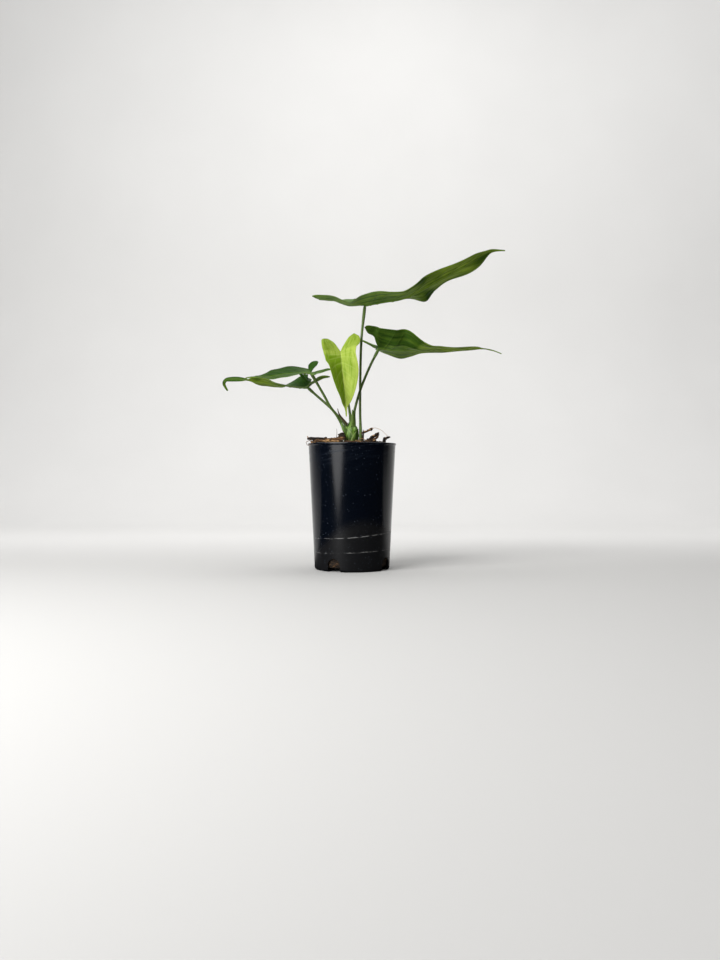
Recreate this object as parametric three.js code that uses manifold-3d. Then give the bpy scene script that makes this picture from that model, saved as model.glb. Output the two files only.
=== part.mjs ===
// A young Anthurium balaoanum in a tall black nursery pot, filled with a coarse bark mix.
// Units are millimetres and +Z is up. The origin is the centre of the pot's foot, where it stands.
// The long leaves reach along +X and -X, and the youngest leaf hangs on the -Y side.

import * as THREE from "three";
import { mergeVertices } from "three/addons/utils/BufferGeometryUtils.js";
import Module from "manifold-3d";

const wasm = await Module();
wasm.setup();

const RIGHT = 1;
const LEFT = -1;
const UP = new THREE.Vector3(0, 0, 1);

// The clearance between two pieces that touch on the real plant
const FIT = 0.3;

// The pot: a thin tapered cup whose floor has a raised ring, with four drainage mouths cut through its foot
const POT_HEIGHT = 121;
const RIM_RADIUS = 42.5;
const FOOT_RADIUS = 36;
const POT_WALL = 1.2;
const LIP_HEIGHT = 2.2;
const LIP_PROUD = 0.5;
const FOOT_ROUNDING = 2.2;
const FLOOR_RAISE = 1.8;
const FLOOR_RAISED_FROM = 13;
const FLOOR_RAISED_TO = 29;
const POT_SIDES = 52;
const DRAIN_COUNT = 4;
const DRAIN_WIDTH = 13;
const DRAIN_HEIGHT = 12.5;
const DRAIN_FLOOR_REACH = 9;
const FIRST_DRAIN_ANGLE = THREE.MathUtils.degToRad(-118);

// The potting mix: its level at the wall and at the stem, and the roughness of its top
const MIX_LEVEL_AT_WALL = 116.5;
const MIX_LEVEL_AT_STEM = 120;
const MIX_ROUGHNESS = 0.9;
const MIX_SIDES = 32;
const CHIP_COUNT = 24;
const CHIP_SEED = 11;

// The short stem that every leaf stalk grows from
const STEM_AT = new THREE.Vector3(-1, 0, 0);
const STEM_FOOT = 106;
const STEM_PROFILE = [
  [3.4, 106],
  [4.8, 110],
  [5.4, 118],
  [6.3, 124],
  [6.5, 128],
  [5.9, 132],
  [4.6, 136],
  [3.2, 140],
  [1.5, 142.5],
];

// The roots: a knot under the stem, and cords that wander down through the mix
const ROOT_KNOT_RADIUS = 4.4;
const ROOT_COUNT = 4;
const ROOT_RADIUS = 1.25;
const ROOT_TIP_RADIUS = 0.8;
const ROOT_DEPTHS = [100, 78, 52, 26];
const ROOT_SPREADS = [4, 15, 23, 27];

// A blade's cross-section: leaf tissue, and the ribs that stand out of it
const BLADE_THICKNESS = 0.8;
const MIDRIB_EXTRA = 1.1;
const VEIN_EXTRA = 0.4;
const VEIN_EVERY = 4;

// Half of a blade's outline. Lengths behind the stalk count in lobe lengths, those ahead of it in blade
// lengths, and widths in half-widths. A side vein's line joins each inner point to the outer point beside it.
const BODY_OUTER = [[0.0, 1.0], [0.14, 0.97], [0.36, 0.93]];
const BODY_INNER = [[0.0, 0.0], [0.08, 0.0], [0.25, 0.0], [0.48, 0.0], [0.7, 0.0], [0.86, 0.0], [1.0, 0.0]];
const STEPS_PER_SPAN = 4;
const FOLD_ACROSS = 0.38;
const ACROSS = [0, 0.1, FOLD_ACROSS, 0.72, 1];

// Where along a blade its two halves' rise angles are given: from the lobes' ends at -1 to the tip at 1
const RISE_AT = [-1, -0.75, -0.5, -0.25, 0, 0.1, 0.2, 0.3, 0.38, 0.46, 0.58, 0.75, 0.9, 1];

// The lengthwise fold of a half-blade: how far across it lies, and where along the blade it starts and ends
const FOLD_STARTS = [0, 0.13];
const FOLD_ENDS = [0.24, 0.5];

// The leaves. rib is the midrib from the stalk to the tip, and lobes the two lobes' own spines behind the
// stalk. face is the way the upper side looks, and width the half-width. sinus, lobe and taper are the
// outline's points inside the lobes, outside them and towards the tip. rise gives how far each half slopes up
// from the spine, in degrees at RISE_AT, and fold how deep its fold is. ripple is the height, number and
// phase of the margin's small waves, and stalk the centreline of the leaf's own petiole up to its blade.
const LEAVES = [
  {
    name: "top",
    colour: 0x24451b,
    face: [0, 0, 1],
    rib: [
      [12.4, 4, 254.6],
      [32.1, 2, 257.6],
      [45.8, 0, 259.4],
      [55, -1, 262.3],
      [68.9, -4, 268.8],
      [86.2, -8, 277.4],
      [99.5, -11, 284.2],
      [112.7, -14, 291.7],
      [125.7, -17, 299.7],
      [131.6, -18, 302.3],
      [144.3, -20, 301.8],
    ],
    lobes: {
      right: [[-3, 4, 253.4], [-12, 3, 255.6], [-19, 2, 257.4], [-31, 0, 256.8], [-41, -2, 257.8]],
      left: [[-3, 5, 254], [-14, 8, 258], [-24, 10, 261], [-36, 12, 261]],
    },
    width: 23,
    sinus: [[-1.0, 0.72], [-0.86, 0.4], [-0.4, 0.17]],
    lobe: [[-1.0, 0.72], [-0.88, 1.02], [-0.45, 1.13]],
    taper: [[0.6, 0.72], [0.78, 0.5], [0.89, 0.17], [1.0, 0.03]],
    rise: {
      right: [5, 6, -1, -1, 14, 20, 11, 3, 5, 17, 20, 10, 12, 8],
      left: [14, 10, 20, 27, 12, 11, 11, 6, -18, -3, 1, -27, -28, -10],
    },
    ripple: { right: [0.7, 4, 0.1], left: [0.7, 4, 0.3] },
    stalk: [[8.2, -2, 108], [8.2, -2, 131], [7.8, -1, 149], [7.8, 0, 174], [9.0, 2, 221], [11.7, 4, 248]],
  },
  {
    name: "middle",
    colour: 0x2a4a14,
    face: [0, 0, 1],
    rib: [
      [25.9, 8, 213.7],
      [40.8, 11, 212.3],
      [54.2, 13, 212.1],
      [75.1, 17, 213.7],
      [96.2, 20, 214],
      [112, 23, 215.2],
      [128, 25, 216],
      [138.7, 27, 214.8],
      [148.8, 28, 211.3],
    ],
    lobes: {
      right: [[19, 7, 215], [12, 5, 217], [5, 3, 219.5]],
      left: [[24, 8.4, 216.4], [17.5, 9, 220.6], [10, 10, 224.3], [5, 11, 226.4]],
    },
    width: 23.8,
    sinus: [[-1.0, 0.7], [-0.75, 0.52], [-0.36, 0.45]],
    lobe: [[-1.0, 0.7], [-0.88, 0.84], [-0.45, 0.93]],
    taper: [[0.6, 0.66], [0.77, 0.42], [0.85, 0.1], [1.0, 0.03]],
    rise: {
      right: [54, 54, 52, 46, 45, 48, 54, 17, 3, 3, 2, 1, 0, 0],
      left: [-6, -6, -5, -2, 6, -3, -12, -7, -1, -1, -3, 1, 0, 0],
    },
    fold: { right: 4.6, left: -1.2 },
    ripple: { right: [0.5, 4, 0.2], left: [0.5, 4, 0.6] },
    stalk: [
      [1.8, -3, 131],
      [1.9, -4, 140],
      [2.2, -5, 150.8],
      [3.8, -6, 158],
      [8.6, -6, 173.9],
      [17.9, 2, 196.9],
      [25, 7.4, 211.5],
    ],
  },
  {
    name: "young",
    colour: 0x8fb32e,
    face: [0, -1, 0.2],
    rib: [[-10.7, -8, 208], [-9.6, -13, 197], [-9, -16, 187.5], [-6.7, -18, 165.7], [-5.1, -16, 146]],
    lobes: {
      right: [[-10.9, -6.5, 212], [-11.2, -1, 217.2]],
      left: [[-10.9, -6.5, 212], [-11.2, -1, 225.4]],
    },
    width: 17.5,
    sinus: [[-1.0, 0.78], [-0.78, 0.46], [-0.36, 0.2]],
    lobe: [[-1.0, 0.78], [-0.8, 1.05], [-0.42, 1.12]],
    taper: [[0.6, 0.7], [0.77, 0.36], [0.87, 0.08], [1.0, 0.03]],
    rise: {
      right: [25, 25, 24, 21, 18, 25, 27, 43, 49, 53, 57, 54, 30, 0],
      left: [10, 11, 14, 21, 31, 33, 30, 24, 21, 20, 20, 20, 10, 0],
    },
    ripple: { right: [0.7, 4, 0.2], left: [0.7, 4, 0.5] },
    stalk: [[-0.6, 2.6, 133], [-1.2, 2, 142], [-3.2, 0, 157], [-7.5, -1, 180], [-10.4, -3, 203]],
  },
  {
    name: "low",
    colour: 0x2c4a24,
    face: [0, 0, 1],
    rib: [
      [-42.6, 6, 175.3],
      [-52.8, 8, 175.8],
      [-66.2, 10, 177.8],
      [-80.6, 13, 179.9],
      [-94.6, 15, 181.9],
      [-109.6, 17, 184.6],
      [-118.9, 19, 185],
      [-124.9, 20, 184.2],
      [-126.7, 20, 181.2],
      [-125.5, 20, 177.5],
      [-123.1, 20, 173.7],
    ],
    lobes: {
      right: [[-40.2, 9, 177.9], [-37.7, 15, 180.4], [-36.2, 21, 182.4], [-35.7, 25, 183.4]],
      left: [[-38.4, 5.5, 178.2], [-33.2, 4, 180.4], [-26.2, 2, 182.6], [-19.7, 1, 183]],
    },
    width: 17,
    sinus: [[-1.0, 0.5], [-0.86, 0.3], [-0.4, 0.17]],
    lobe: [[-1.0, 0.5], [-0.88, 0.76], [-0.45, 0.95]],
    taper: [[0.52, 0.55], [0.66, 0.2], [0.84, 0.15], [1.0, 0.05]],
    rise: {
      right: [20, 30, 40, 50, 55, 52, 24, -3, -7, -8, -11, 60, 60, 60],
      left: [10, 8, -2, -4, -4, -3, -2, 4, 14, 24, 36, -60, -60, -60],
    },
    ripple: { right: [0.4, 4, 0.2], left: [0.4, 4, 0.6] },
    stalk: [
      [-4.6, 2.6, 132],
      [-6.6, 2.6, 139.5],
      [-14.4, 2.8, 148.4],
      [-21.4, 3.6, 155.9],
      [-33.2, 5, 166.4],
      [-41.6, 6, 174],
    ],
  },
  {
    name: "high",
    colour: 0x2a5226,
    face: [0, 0, 1],
    rib: [
      [-39.1, -14, 187.3],
      [-45.5, -15, 187.4],
      [-52.2, -16, 186.9],
      [-64.3, -18, 185.4],
      [-71.2, -19, 184.3],
      [-77.6, -20, 183.1],
      [-84.4, -21, 183.1],
      [-99, -22, 182],
      [-102.3, -22, 179.6],
    ],
    lobes: {
      right: [[-35, -13, 188.5], [-29.6, -12, 189.5]],
      left: [[-34.6, -14, 188.6], [-30.3, -14.5, 190.6], [-22.7, -15, 193.7], [-19.7, -15, 194.2]],
    },
    width: 15,
    sinus: [[-1.0, 0.7], [-0.8, 0.5], [-0.4, 0.3]],
    lobe: [[-1.0, 0.7], [-0.88, 0.82], [-0.45, 0.95]],
    taper: [[0.6, 0.66], [0.74, 0.3], [0.86, 0.1], [1.0, 0.06]],
    rise: {
      right: [62, 58, 50, 34, 22, 27, 32, 35, 35, 36, 40, 20, 20, 20],
      left: [-26, -26, -23, -17, -12, -8, -9, -12, -15, -17, -22, -16, -20, -20],
    },
    ripple: { right: [0.4, 4, 0.2], left: [0.4, 4, 0.6] },
    stalk: [
      [-4, -3, 125],
      [-6.2, -3.6, 131],
      [-14.3, -6.5, 147],
      [-20.9, -9, 155.9],
      [-26.9, -11.9, 166.8],
      [-37.9, -13.8, 185.6],
    ],
  },
];

// The leaf stalks
const STALK_RADIUS = 1.27;
const KNEE_RADIUS = 1.6;
const SHEATH_RADIUS = 2.1;
const STALK_TO_BLADE = 1.3;
const STALK_SIDES = 10;
const STALK_STEPS = 22;

// The papery sheaths left at the foot of the stalks: centreline, half-width and colour
const SHEATHS = [
  {
    name: "cataphyll_green",
    colour: 0x51702f,
    path: [[1.2, -5.6, 137], [1.4, -7, 143], [1, -7.4, 149], [0.4, -6.6, 153]],
    width: 1.9,
    face: [0.4, -1, 0],
  },
  {
    name: "cataphyll_dry",
    colour: 0x4a3b22,
    path: [[-4.4, -4.6, 139], [-8.4, -5.6, 143.6], [-12.4, -5, 149], [-13.9, -4, 154.3]],
    width: 0.8,
    face: [-0.6, -1, 0.5],
  },
  {
    name: "cataphyll_pale",
    colour: 0x9db05e,
    path: [[-4.8, -5, 128.5], [-7.4, -6.6, 133], [-9.4, -6.8, 137.4], [-10.6, -6, 141.5]],
    width: 1.7,
    face: [-0.3, -1, 0.2],
  },
];
const SHEATH_THICKNESS = 0.7;
const SHEATH_STEPS = 10;
const SHEATH_HOLLOW = 0.5;

// Bark and sticks that stand out of the mix: centre, size, turn about Z and tilt about Y in degrees
const BARK = [
  { at: [-33.6, -10, 124.9], size: [20, 5.6, 2.6], turn: 3, tilt: 1 },
  { at: [-30, -8, 120.6], size: [12, 9, 9], turn: 20, tilt: 0 },
  { at: [-17, -12, 124.6], size: [22, 6.6, 3.2], turn: -6, tilt: -3 },
  { at: [-14, -9, 120.4], size: [11, 9, 8], turn: 10, tilt: 0 },
  { at: [-9.4, -8.6, 126.4], size: [5.5, 6, 6.4], turn: -20, tilt: -30 },
  { at: [10.4, -5.6, 125.2], size: [1.9, 1.9, 14], turn: 10, tilt: 4 },
  { at: [14.6, -5.6, 131.8], size: [11, 2, 1.8], turn: -4, tilt: -21 },
  { at: [19.6, -8, 125.6], size: [13.5, 7, 5], turn: 8, tilt: -34 },
  { at: [19, -7, 120.2], size: [11, 9, 8], turn: 30, tilt: 0 },
  { at: [33, -4, 125.4], size: [8.5, 2, 1.8], turn: 8, tilt: -15 },
  { at: [30.6, -4, 121], size: [4, 4, 9.5], turn: 0, tilt: 6 },
  { at: [8, 12, 121.5], size: [14, 7, 5], turn: 60, tilt: 8 },
  { at: [-22, 12, 121], size: [16, 6, 5], turn: -50, tilt: -8 },
  { at: [26, 14, 120.5], size: [12, 7, 5], turn: 30, tilt: 6 },
  { at: [-4, -24, 120.5], size: [12, 8, 4.6], turn: 20, tilt: 3 },
];

// A repeatable random number from 0 to 1
function seeded(seed) {
  let state = seed;
  return () => {
    state = (state + 0x6d2b79f5) | 0;
    let t = Math.imul(state ^ (state >>> 15), 1 | state);
    t = (t + Math.imul(t ^ (t >>> 7), 61 | t)) ^ t;
    return ((t ^ (t >>> 14)) >>> 0) / 4294967296;
  };
}

const vector = (p) => new THREE.Vector3(...p);

// A value that runs smoothly through the given values at the given places
const smoothly = (places, values) => new THREE.CubicInterpolant(places, values, 1, [0]);

// A closed geometry as a solid that can be cut and joined
function solidOf(geometry) {
  const bare = geometry.clone();
  bare.deleteAttribute("normal");
  bare.deleteAttribute("uv");
  const merged = mergeVertices(bare, 1e-3);
  return new wasm.Manifold(
    new wasm.Mesh({
      numProp: 3,
      vertProperties: new Float32Array(merged.attributes.position.array),
      triVerts: new Uint32Array(merged.index.array),
    }),
  );
}

// The largest body of a solid, as a geometry: a cut can leave a crumb behind
function geometryOf(solid) {
  const bodies = solid.decompose().sort((a, b) => b.volume() - a.volume());
  const mesh = bodies[0].getMesh();
  const geometry = new THREE.BufferGeometry();
  geometry.setAttribute("position", new THREE.BufferAttribute(new Float32Array(mesh.vertProperties), 3));
  geometry.setIndex(new THREE.BufferAttribute(new Uint32Array(mesh.triVerts), 1));
  geometry.computeVertexNormals();
  return geometry;
}

// A round body lying along a curve: a lathe of radiusAt, turned on the curve's own frame
function alongCurve(points, radiusAt, sides, steps) {
  const curve = new THREE.CatmullRomCurve3(points.map(vector), false, "centripetal");
  const profile = [new THREE.Vector2(0, 0)];
  for (let i = 0; i <= steps; i += 1) profile.push(new THREE.Vector2(radiusAt(i / steps), i / steps));
  profile.push(new THREE.Vector2(0, 1));
  const geometry = new THREE.LatheGeometry(profile, sides);
  const frames = curve.computeFrenetFrames(steps, false);
  const place = geometry.attributes.position;
  const p = new THREE.Vector3();
  for (let i = 0; i < place.count; i += 1) {
    p.fromBufferAttribute(place, i);
    const step = Math.round(p.y * steps);
    const out = curve.getPointAt(step / steps);
    out.addScaledVector(frames.normals[step], p.x).addScaledVector(frames.binormals[step], p.z);
    place.setXYZ(i, out.x, out.y, out.z);
  }
  const solid = solidOf(geometry);
  return solid.volume() < 0 ? solidOf(turnedInsideOut(geometry)) : solid;
}

// The same geometry with its faces turned round
function turnedInsideOut(geometry) {
  const turned = geometry.clone();
  const index = turned.index.array;
  for (let i = 0; i < index.length; i += 3) [index[i + 1], index[i + 2]] = [index[i + 2], index[i + 1]];
  return turned;
}

// A sheet given by its middle surface and a thickness at each vertex, as a closed body with a rim
function thickened(surface, extra) {
  const sheet = mergeVertices(surface, 1e-3);
  const tris = [];
  for (let i = 0; i < sheet.index.count; i += 3) {
    const t = [sheet.index.getX(i), sheet.index.getX(i + 1), sheet.index.getX(i + 2)];
    if (t[0] !== t[1] && t[1] !== t[2] && t[2] !== t[0]) tris.push(t);
  }
  sheet.setIndex(tris.flat());
  sheet.computeVertexNormals();
  const { position, normal, thickness } = sheet.attributes;
  const count = position.count;
  const out = [];
  for (const side of [1, -1]) {
    for (let i = 0; i < count; i += 1) {
      const offset = (side * (thickness.getX(i) + extra)) / 2;
      out.push(position.getX(i) + normal.getX(i) * offset);
      out.push(position.getY(i) + normal.getY(i) * offset);
      out.push(position.getZ(i) + normal.getZ(i) * offset);
    }
  }
  const faces = [];
  const edges = new Set(tris.flatMap(([a, b, c]) => [`${a},${b}`, `${b},${c}`, `${c},${a}`]));
  for (const [a, b, c] of tris) {
    faces.push(a, b, c, c + count, b + count, a + count);
    for (const [from, to] of [[a, b], [b, c], [c, a]]) {
      const isRim = !edges.has(`${to},${from}`);
      if (isRim) faces.push(to, from, from + count, to, from + count, to + count);
    }
  }
  const body = new THREE.BufferGeometry();
  body.setAttribute("position", new THREE.Float32BufferAttribute(out, 3));
  body.setIndex(faces);
  return solidOf(body);
}

// The point of an outline edge at a share of its length, counted in control points
function edgePoint(edge, share) {
  const spans = edge.length - 1;
  const spot = Math.min(share * spans, spans - 1e-9);
  const i = Math.floor(spot);
  const straight = edge[i][1] === 0 && edge[i + 1][1] === 0;
  if (straight) return [THREE.MathUtils.lerp(edge[i][0], edge[i + 1][0], spot - i), 0];
  const curve = new THREE.SplineCurve(edge.map(([x, y]) => new THREE.Vector2(x, y)));
  const p = curve.getPoint(share);
  return [p.x, Math.max(p.y, 0)];
}

// The middle surface of a leaf blade: two half-blades that share the midrib
function bladeSurface(leaf) {
  const rib = new THREE.CatmullRomCurve3(leaf.rib.map(vector), false, "centripetal");
  const face = vector(leaf.face).normalize();
  const outerEdge = [...leaf.lobe, ...BODY_OUTER, ...leaf.taper];
  const innerEdge = [...leaf.sinus, ...BODY_INNER];
  const stations = (outerEdge.length - 1) * STEPS_PER_SPAN;

  const positions = [];
  const thickness = [];
  const index = [];
  for (const side of [RIGHT, LEFT]) {
    const first = positions.length / 3;
    const half = side === RIGHT ? "right" : "left";
    const rise = smoothly(RISE_AT, leaf.rise[half]);
    const [waveHeight, waveCount, wavePhase] = leaf.ripple[half];
    const foldDepth = leaf.fold?.[half] ?? 0;
    const lobePath = [leaf.rib[0], ...leaf.lobes[half]].map(vector);
    const lobe = new THREE.CatmullRomCurve3(lobePath, false, "centripetal");
    for (let i = 0; i <= stations; i += 1) {
      const share = i / stations;
      const inner = edgePoint(innerEdge, share);
      const outer = edgePoint(outerEdge, share);
      for (const v of ACROSS) {
        const at = THREE.MathUtils.lerp(inner[0], outer[0], v);
        const y = THREE.MathUtils.lerp(inner[1], outer[1], v) * leaf.width;
        const behind = THREE.MathUtils.clamp(-at, 0, 1);
        const ahead = THREE.MathUtils.clamp(at, 0, 1);
        const point = at < 0 ? lobe.getPointAt(behind) : rib.getPointAt(ahead);
        const forward = THREE.MathUtils.smoothstep(at, -0.3, 0.12);
        const tangent = lobe.getTangentAt(behind).negate();
        tangent.lerp(rib.getTangentAt(ahead), forward).normalize();
        const level = new THREE.Vector3().crossVectors(tangent, face).normalize();
        const normal = new THREE.Vector3().crossVectors(level, tangent);
        const angle = THREE.MathUtils.degToRad(rise.evaluate(at)[0]);
        const [cos, sin] = [Math.cos(angle), Math.sin(angle)];
        const out = level.clone().multiplyScalar(side * cos).addScaledVector(normal, sin);
        const upward = normal.clone().multiplyScalar(cos).addScaledVector(level, -side * sin);
        const wave = Math.sin(2 * Math.PI * (waveCount * share + wavePhase));
        const ripple = waveHeight * v ** 1.6 * wave * Math.sin(Math.PI * share) ** 0.7;
        const started = THREE.MathUtils.smoothstep(at, ...FOLD_STARTS);
        const ended = THREE.MathUtils.smoothstep(at, ...FOLD_ENDS);
        const bend = Math.min(v / FOLD_ACROSS, (1 - v) / (1 - FOLD_ACROSS));
        const crease = foldDepth * started * (1 - ended) * bend;
        point.addScaledVector(out, y).addScaledVector(upward, ripple - crease);
        positions.push(point.x, point.y, point.z);
        const onRib = v === 0 && at >= 0 ? MIDRIB_EXTRA * (1 - 0.75 * at) : 0;
        const onVein = i % VEIN_EVERY === 0 && v > 0 && v < 1 ? VEIN_EXTRA : 0;
        thickness.push(BLADE_THICKNESS + onRib + onVein);
      }
    }
    const row = ACROSS.length;
    for (let i = 0; i < stations; i += 1) {
      for (let j = 0; j < row - 1; j += 1) {
        const a = first + i * row + j;
        const [b, c, d] = [a + row, a + row + 1, a + 1];
        if (side === RIGHT) index.push(a, d, c, a, c, b);
        else index.push(a, c, d, a, b, c);
      }
    }
  }
  const surface = new THREE.BufferGeometry();
  surface.setAttribute("position", new THREE.Float32BufferAttribute(positions, 3));
  surface.setAttribute("thickness", new THREE.Float32BufferAttribute(thickness, 1));
  surface.setIndex(index);
  return surface;
}

// A leaf stalk: a sheathing foot, a slender shaft and the swollen knee under the blade
function stalk(leaf, extra) {
  const radiusAt = (share) => {
    const sheath = (SHEATH_RADIUS - STALK_RADIUS) * THREE.MathUtils.smoothstep(0.28 - share, 0, 0.28);
    const knee = (KNEE_RADIUS - STALK_RADIUS) * THREE.MathUtils.smoothstep(share, 0.86, 0.94);
    return STALK_RADIUS + sheath + knee + extra;
  };
  const joint = vector(leaf.rib[0]);
  const towards = vector(leaf.stalk.at(-1)).sub(joint).setLength(STALK_TO_BLADE);
  const end = joint.add(towards);
  return alongCurve([...leaf.stalk, end.toArray()], radiusAt, STALK_SIDES, STALK_STEPS);
}

// A papery sheath: a narrow pointed blade, hollowed along its middle
function sheath(piece) {
  const curve = new THREE.CatmullRomCurve3(piece.path.map(vector), false, "centripetal");
  const face = vector(piece.face).normalize();
  const positions = [];
  const index = [];
  const columns = [-1, -0.5, 0, 0.5, 1];
  for (let i = 0; i <= SHEATH_STEPS; i += 1) {
    const share = i / SHEATH_STEPS;
    const point = curve.getPointAt(share);
    const side = new THREE.Vector3().crossVectors(curve.getTangentAt(share), face).normalize();
    const half = piece.width * (1 - share ** 2.2) + 0.25;
    for (const column of columns) {
      const p = point.clone().addScaledVector(side, column * half);
      p.addScaledVector(face, -SHEATH_HOLLOW * half * column * column);
      positions.push(p.x, p.y, p.z);
    }
  }
  for (let i = 0; i < SHEATH_STEPS; i += 1) {
    for (let j = 0; j < columns.length - 1; j += 1) {
      const a = i * columns.length + j;
      const b = a + columns.length;
      index.push(a, a + 1, b + 1, a, b + 1, b);
    }
  }
  const surface = new THREE.BufferGeometry();
  surface.setAttribute("position", new THREE.Float32BufferAttribute(positions, 3));
  const thickness = new Array(positions.length / 3).fill(SHEATH_THICKNESS);
  surface.setAttribute("thickness", new THREE.Float32BufferAttribute(thickness, 1));
  surface.setIndex(index);
  return thickened(surface, 0);
}

// The radius of the pot's outside at a height
const potRadius = (z) => THREE.MathUtils.lerp(FOOT_RADIUS, RIM_RADIUS - LIP_PROUD, z / POT_HEIGHT);

// A lathe about Z: three.js turns profiles about Y
function turned(profile, sides) {
  const points = profile.map(([r, z]) => new THREE.Vector2(r, z));
  return new THREE.LatheGeometry(points, sides).rotateX(Math.PI / 2);
}

// A drainage mouth: an arched opening through the foot's corner, running a little way in under the floor
function drainMouth(turn) {
  const shape = new THREE.Shape();
  const half = DRAIN_WIDTH / 2;
  shape.moveTo(-half, -5).lineTo(half, -5).lineTo(half, DRAIN_HEIGHT - half);
  shape.absarc(0, DRAIN_HEIGHT - half, half, 0, Math.PI, false);
  shape.lineTo(-half, -5);
  const depth = DRAIN_FLOOR_REACH + 6;
  const mouth = new THREE.ExtrudeGeometry(shape, { depth, bevelEnabled: false, curveSegments: 10 });
  mouth.rotateX(Math.PI / 2).rotateZ(Math.PI / 2);
  mouth.translate(FOOT_RADIUS - DRAIN_FLOOR_REACH, 0, 0);
  return solidOf(mouth.rotateZ(turn));
}

function pot() {
  const inside = (z) => potRadius(z) - POT_WALL;
  const profile = [
    [0, 0],
    [FLOOR_RAISED_FROM - 1, 0],
    [FLOOR_RAISED_FROM, FLOOR_RAISE],
    [FLOOR_RAISED_TO, FLOOR_RAISE],
    [FLOOR_RAISED_TO + 1, 0],
    [FOOT_RADIUS - FOOT_ROUNDING, 0],
    [FOOT_RADIUS - FOOT_ROUNDING * 0.3, FOOT_ROUNDING * 0.3],
    [potRadius(FOOT_ROUNDING), FOOT_ROUNDING],
    [potRadius(POT_HEIGHT - LIP_HEIGHT), POT_HEIGHT - LIP_HEIGHT],
    [RIM_RADIUS, POT_HEIGHT - LIP_HEIGHT + 0.6],
    [RIM_RADIUS, POT_HEIGHT - 0.5],
    [RIM_RADIUS - 0.5, POT_HEIGHT],
    [inside(POT_HEIGHT), POT_HEIGHT],
    [inside(FOOT_ROUNDING + POT_WALL), FOOT_ROUNDING + POT_WALL],
    [inside(0) - 2, POT_WALL + 0.3],
    [FLOOR_RAISED_TO + 1.5, POT_WALL],
    [FLOOR_RAISED_TO + 0.4, FLOOR_RAISE + POT_WALL],
    [FLOOR_RAISED_FROM - 0.4, FLOOR_RAISE + POT_WALL],
    [FLOOR_RAISED_FROM - 1.5, POT_WALL],
    [0, POT_WALL],
  ];
  let body = solidOf(turned(profile, POT_SIDES));
  for (let i = 0; i < DRAIN_COUNT; i += 1) {
    body = body.subtract(drainMouth(FIRST_DRAIN_ANGLE + (i * 2 * Math.PI) / DRAIN_COUNT));
  }
  return body;
}

// The stem, grown by extra all round
function stem(extra) {
  const profile = STEM_PROFILE.map(([r, z]) => [r + extra, z]);
  const foot = [0, STEM_FOOT - extra];
  const lowRing = [STEM_PROFILE[0][0] + extra, STEM_FOOT - extra];
  const top = STEM_PROFILE.at(-1)[1] + 0.6 + extra;
  const geometry = turned([foot, lowRing, ...profile, [0, top]], 20);
  return solidOf(geometry.translate(STEM_AT.x, STEM_AT.y, 0));
}

// The roots, grown by extra all round
function roots(extra) {
  const random = seeded(5);
  const knot = new THREE.SphereGeometry(ROOT_KNOT_RADIUS + extra, 14, 9);
  let body = solidOf(knot.translate(STEM_AT.x, STEM_AT.y, STEM_FOOT - FIT - ROOT_KNOT_RADIUS));
  for (let i = 0; i < ROOT_COUNT; i += 1) {
    const heading = ((i + 0.35 * random()) * 2 * Math.PI) / ROOT_COUNT;
    const path = ROOT_DEPTHS.map((z, j) => {
      const swing = heading + (random() - 0.5) * 0.5 * j;
      const spread = ROOT_SPREADS[j];
      return [STEM_AT.x + spread * Math.cos(swing), spread * Math.sin(swing), z + 5 * random()];
    });
    path.unshift([STEM_AT.x, STEM_AT.y, STEM_FOOT - ROOT_KNOT_RADIUS]);
    const radiusAt = (share) => THREE.MathUtils.lerp(ROOT_RADIUS, ROOT_TIP_RADIUS, share) + extra;
    body = body.add(alongCurve(path, radiusAt, 6, 10));
  }
  return body;
}

// One angular piece of bark: a box with its corners moved a little
function barkPiece({ at, size, turn, tilt }, random) {
  const box = mergeVertices(bare(new THREE.BoxGeometry(...size)));
  const place = box.attributes.position;
  for (let i = 0; i < place.count; i += 1) {
    const nudge = () => 0.75 + 0.35 * random();
    place.setXYZ(i, place.getX(i) * nudge(), place.getY(i) * nudge(), place.getZ(i) * nudge());
  }
  box.rotateY(THREE.MathUtils.degToRad(tilt)).rotateZ(THREE.MathUtils.degToRad(turn)).translate(...at);
  return solidOf(box);
}

// A geometry with only its positions and faces
function bare(geometry) {
  geometry.deleteAttribute("normal");
  geometry.deleteAttribute("uv");
  return geometry;
}

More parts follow.
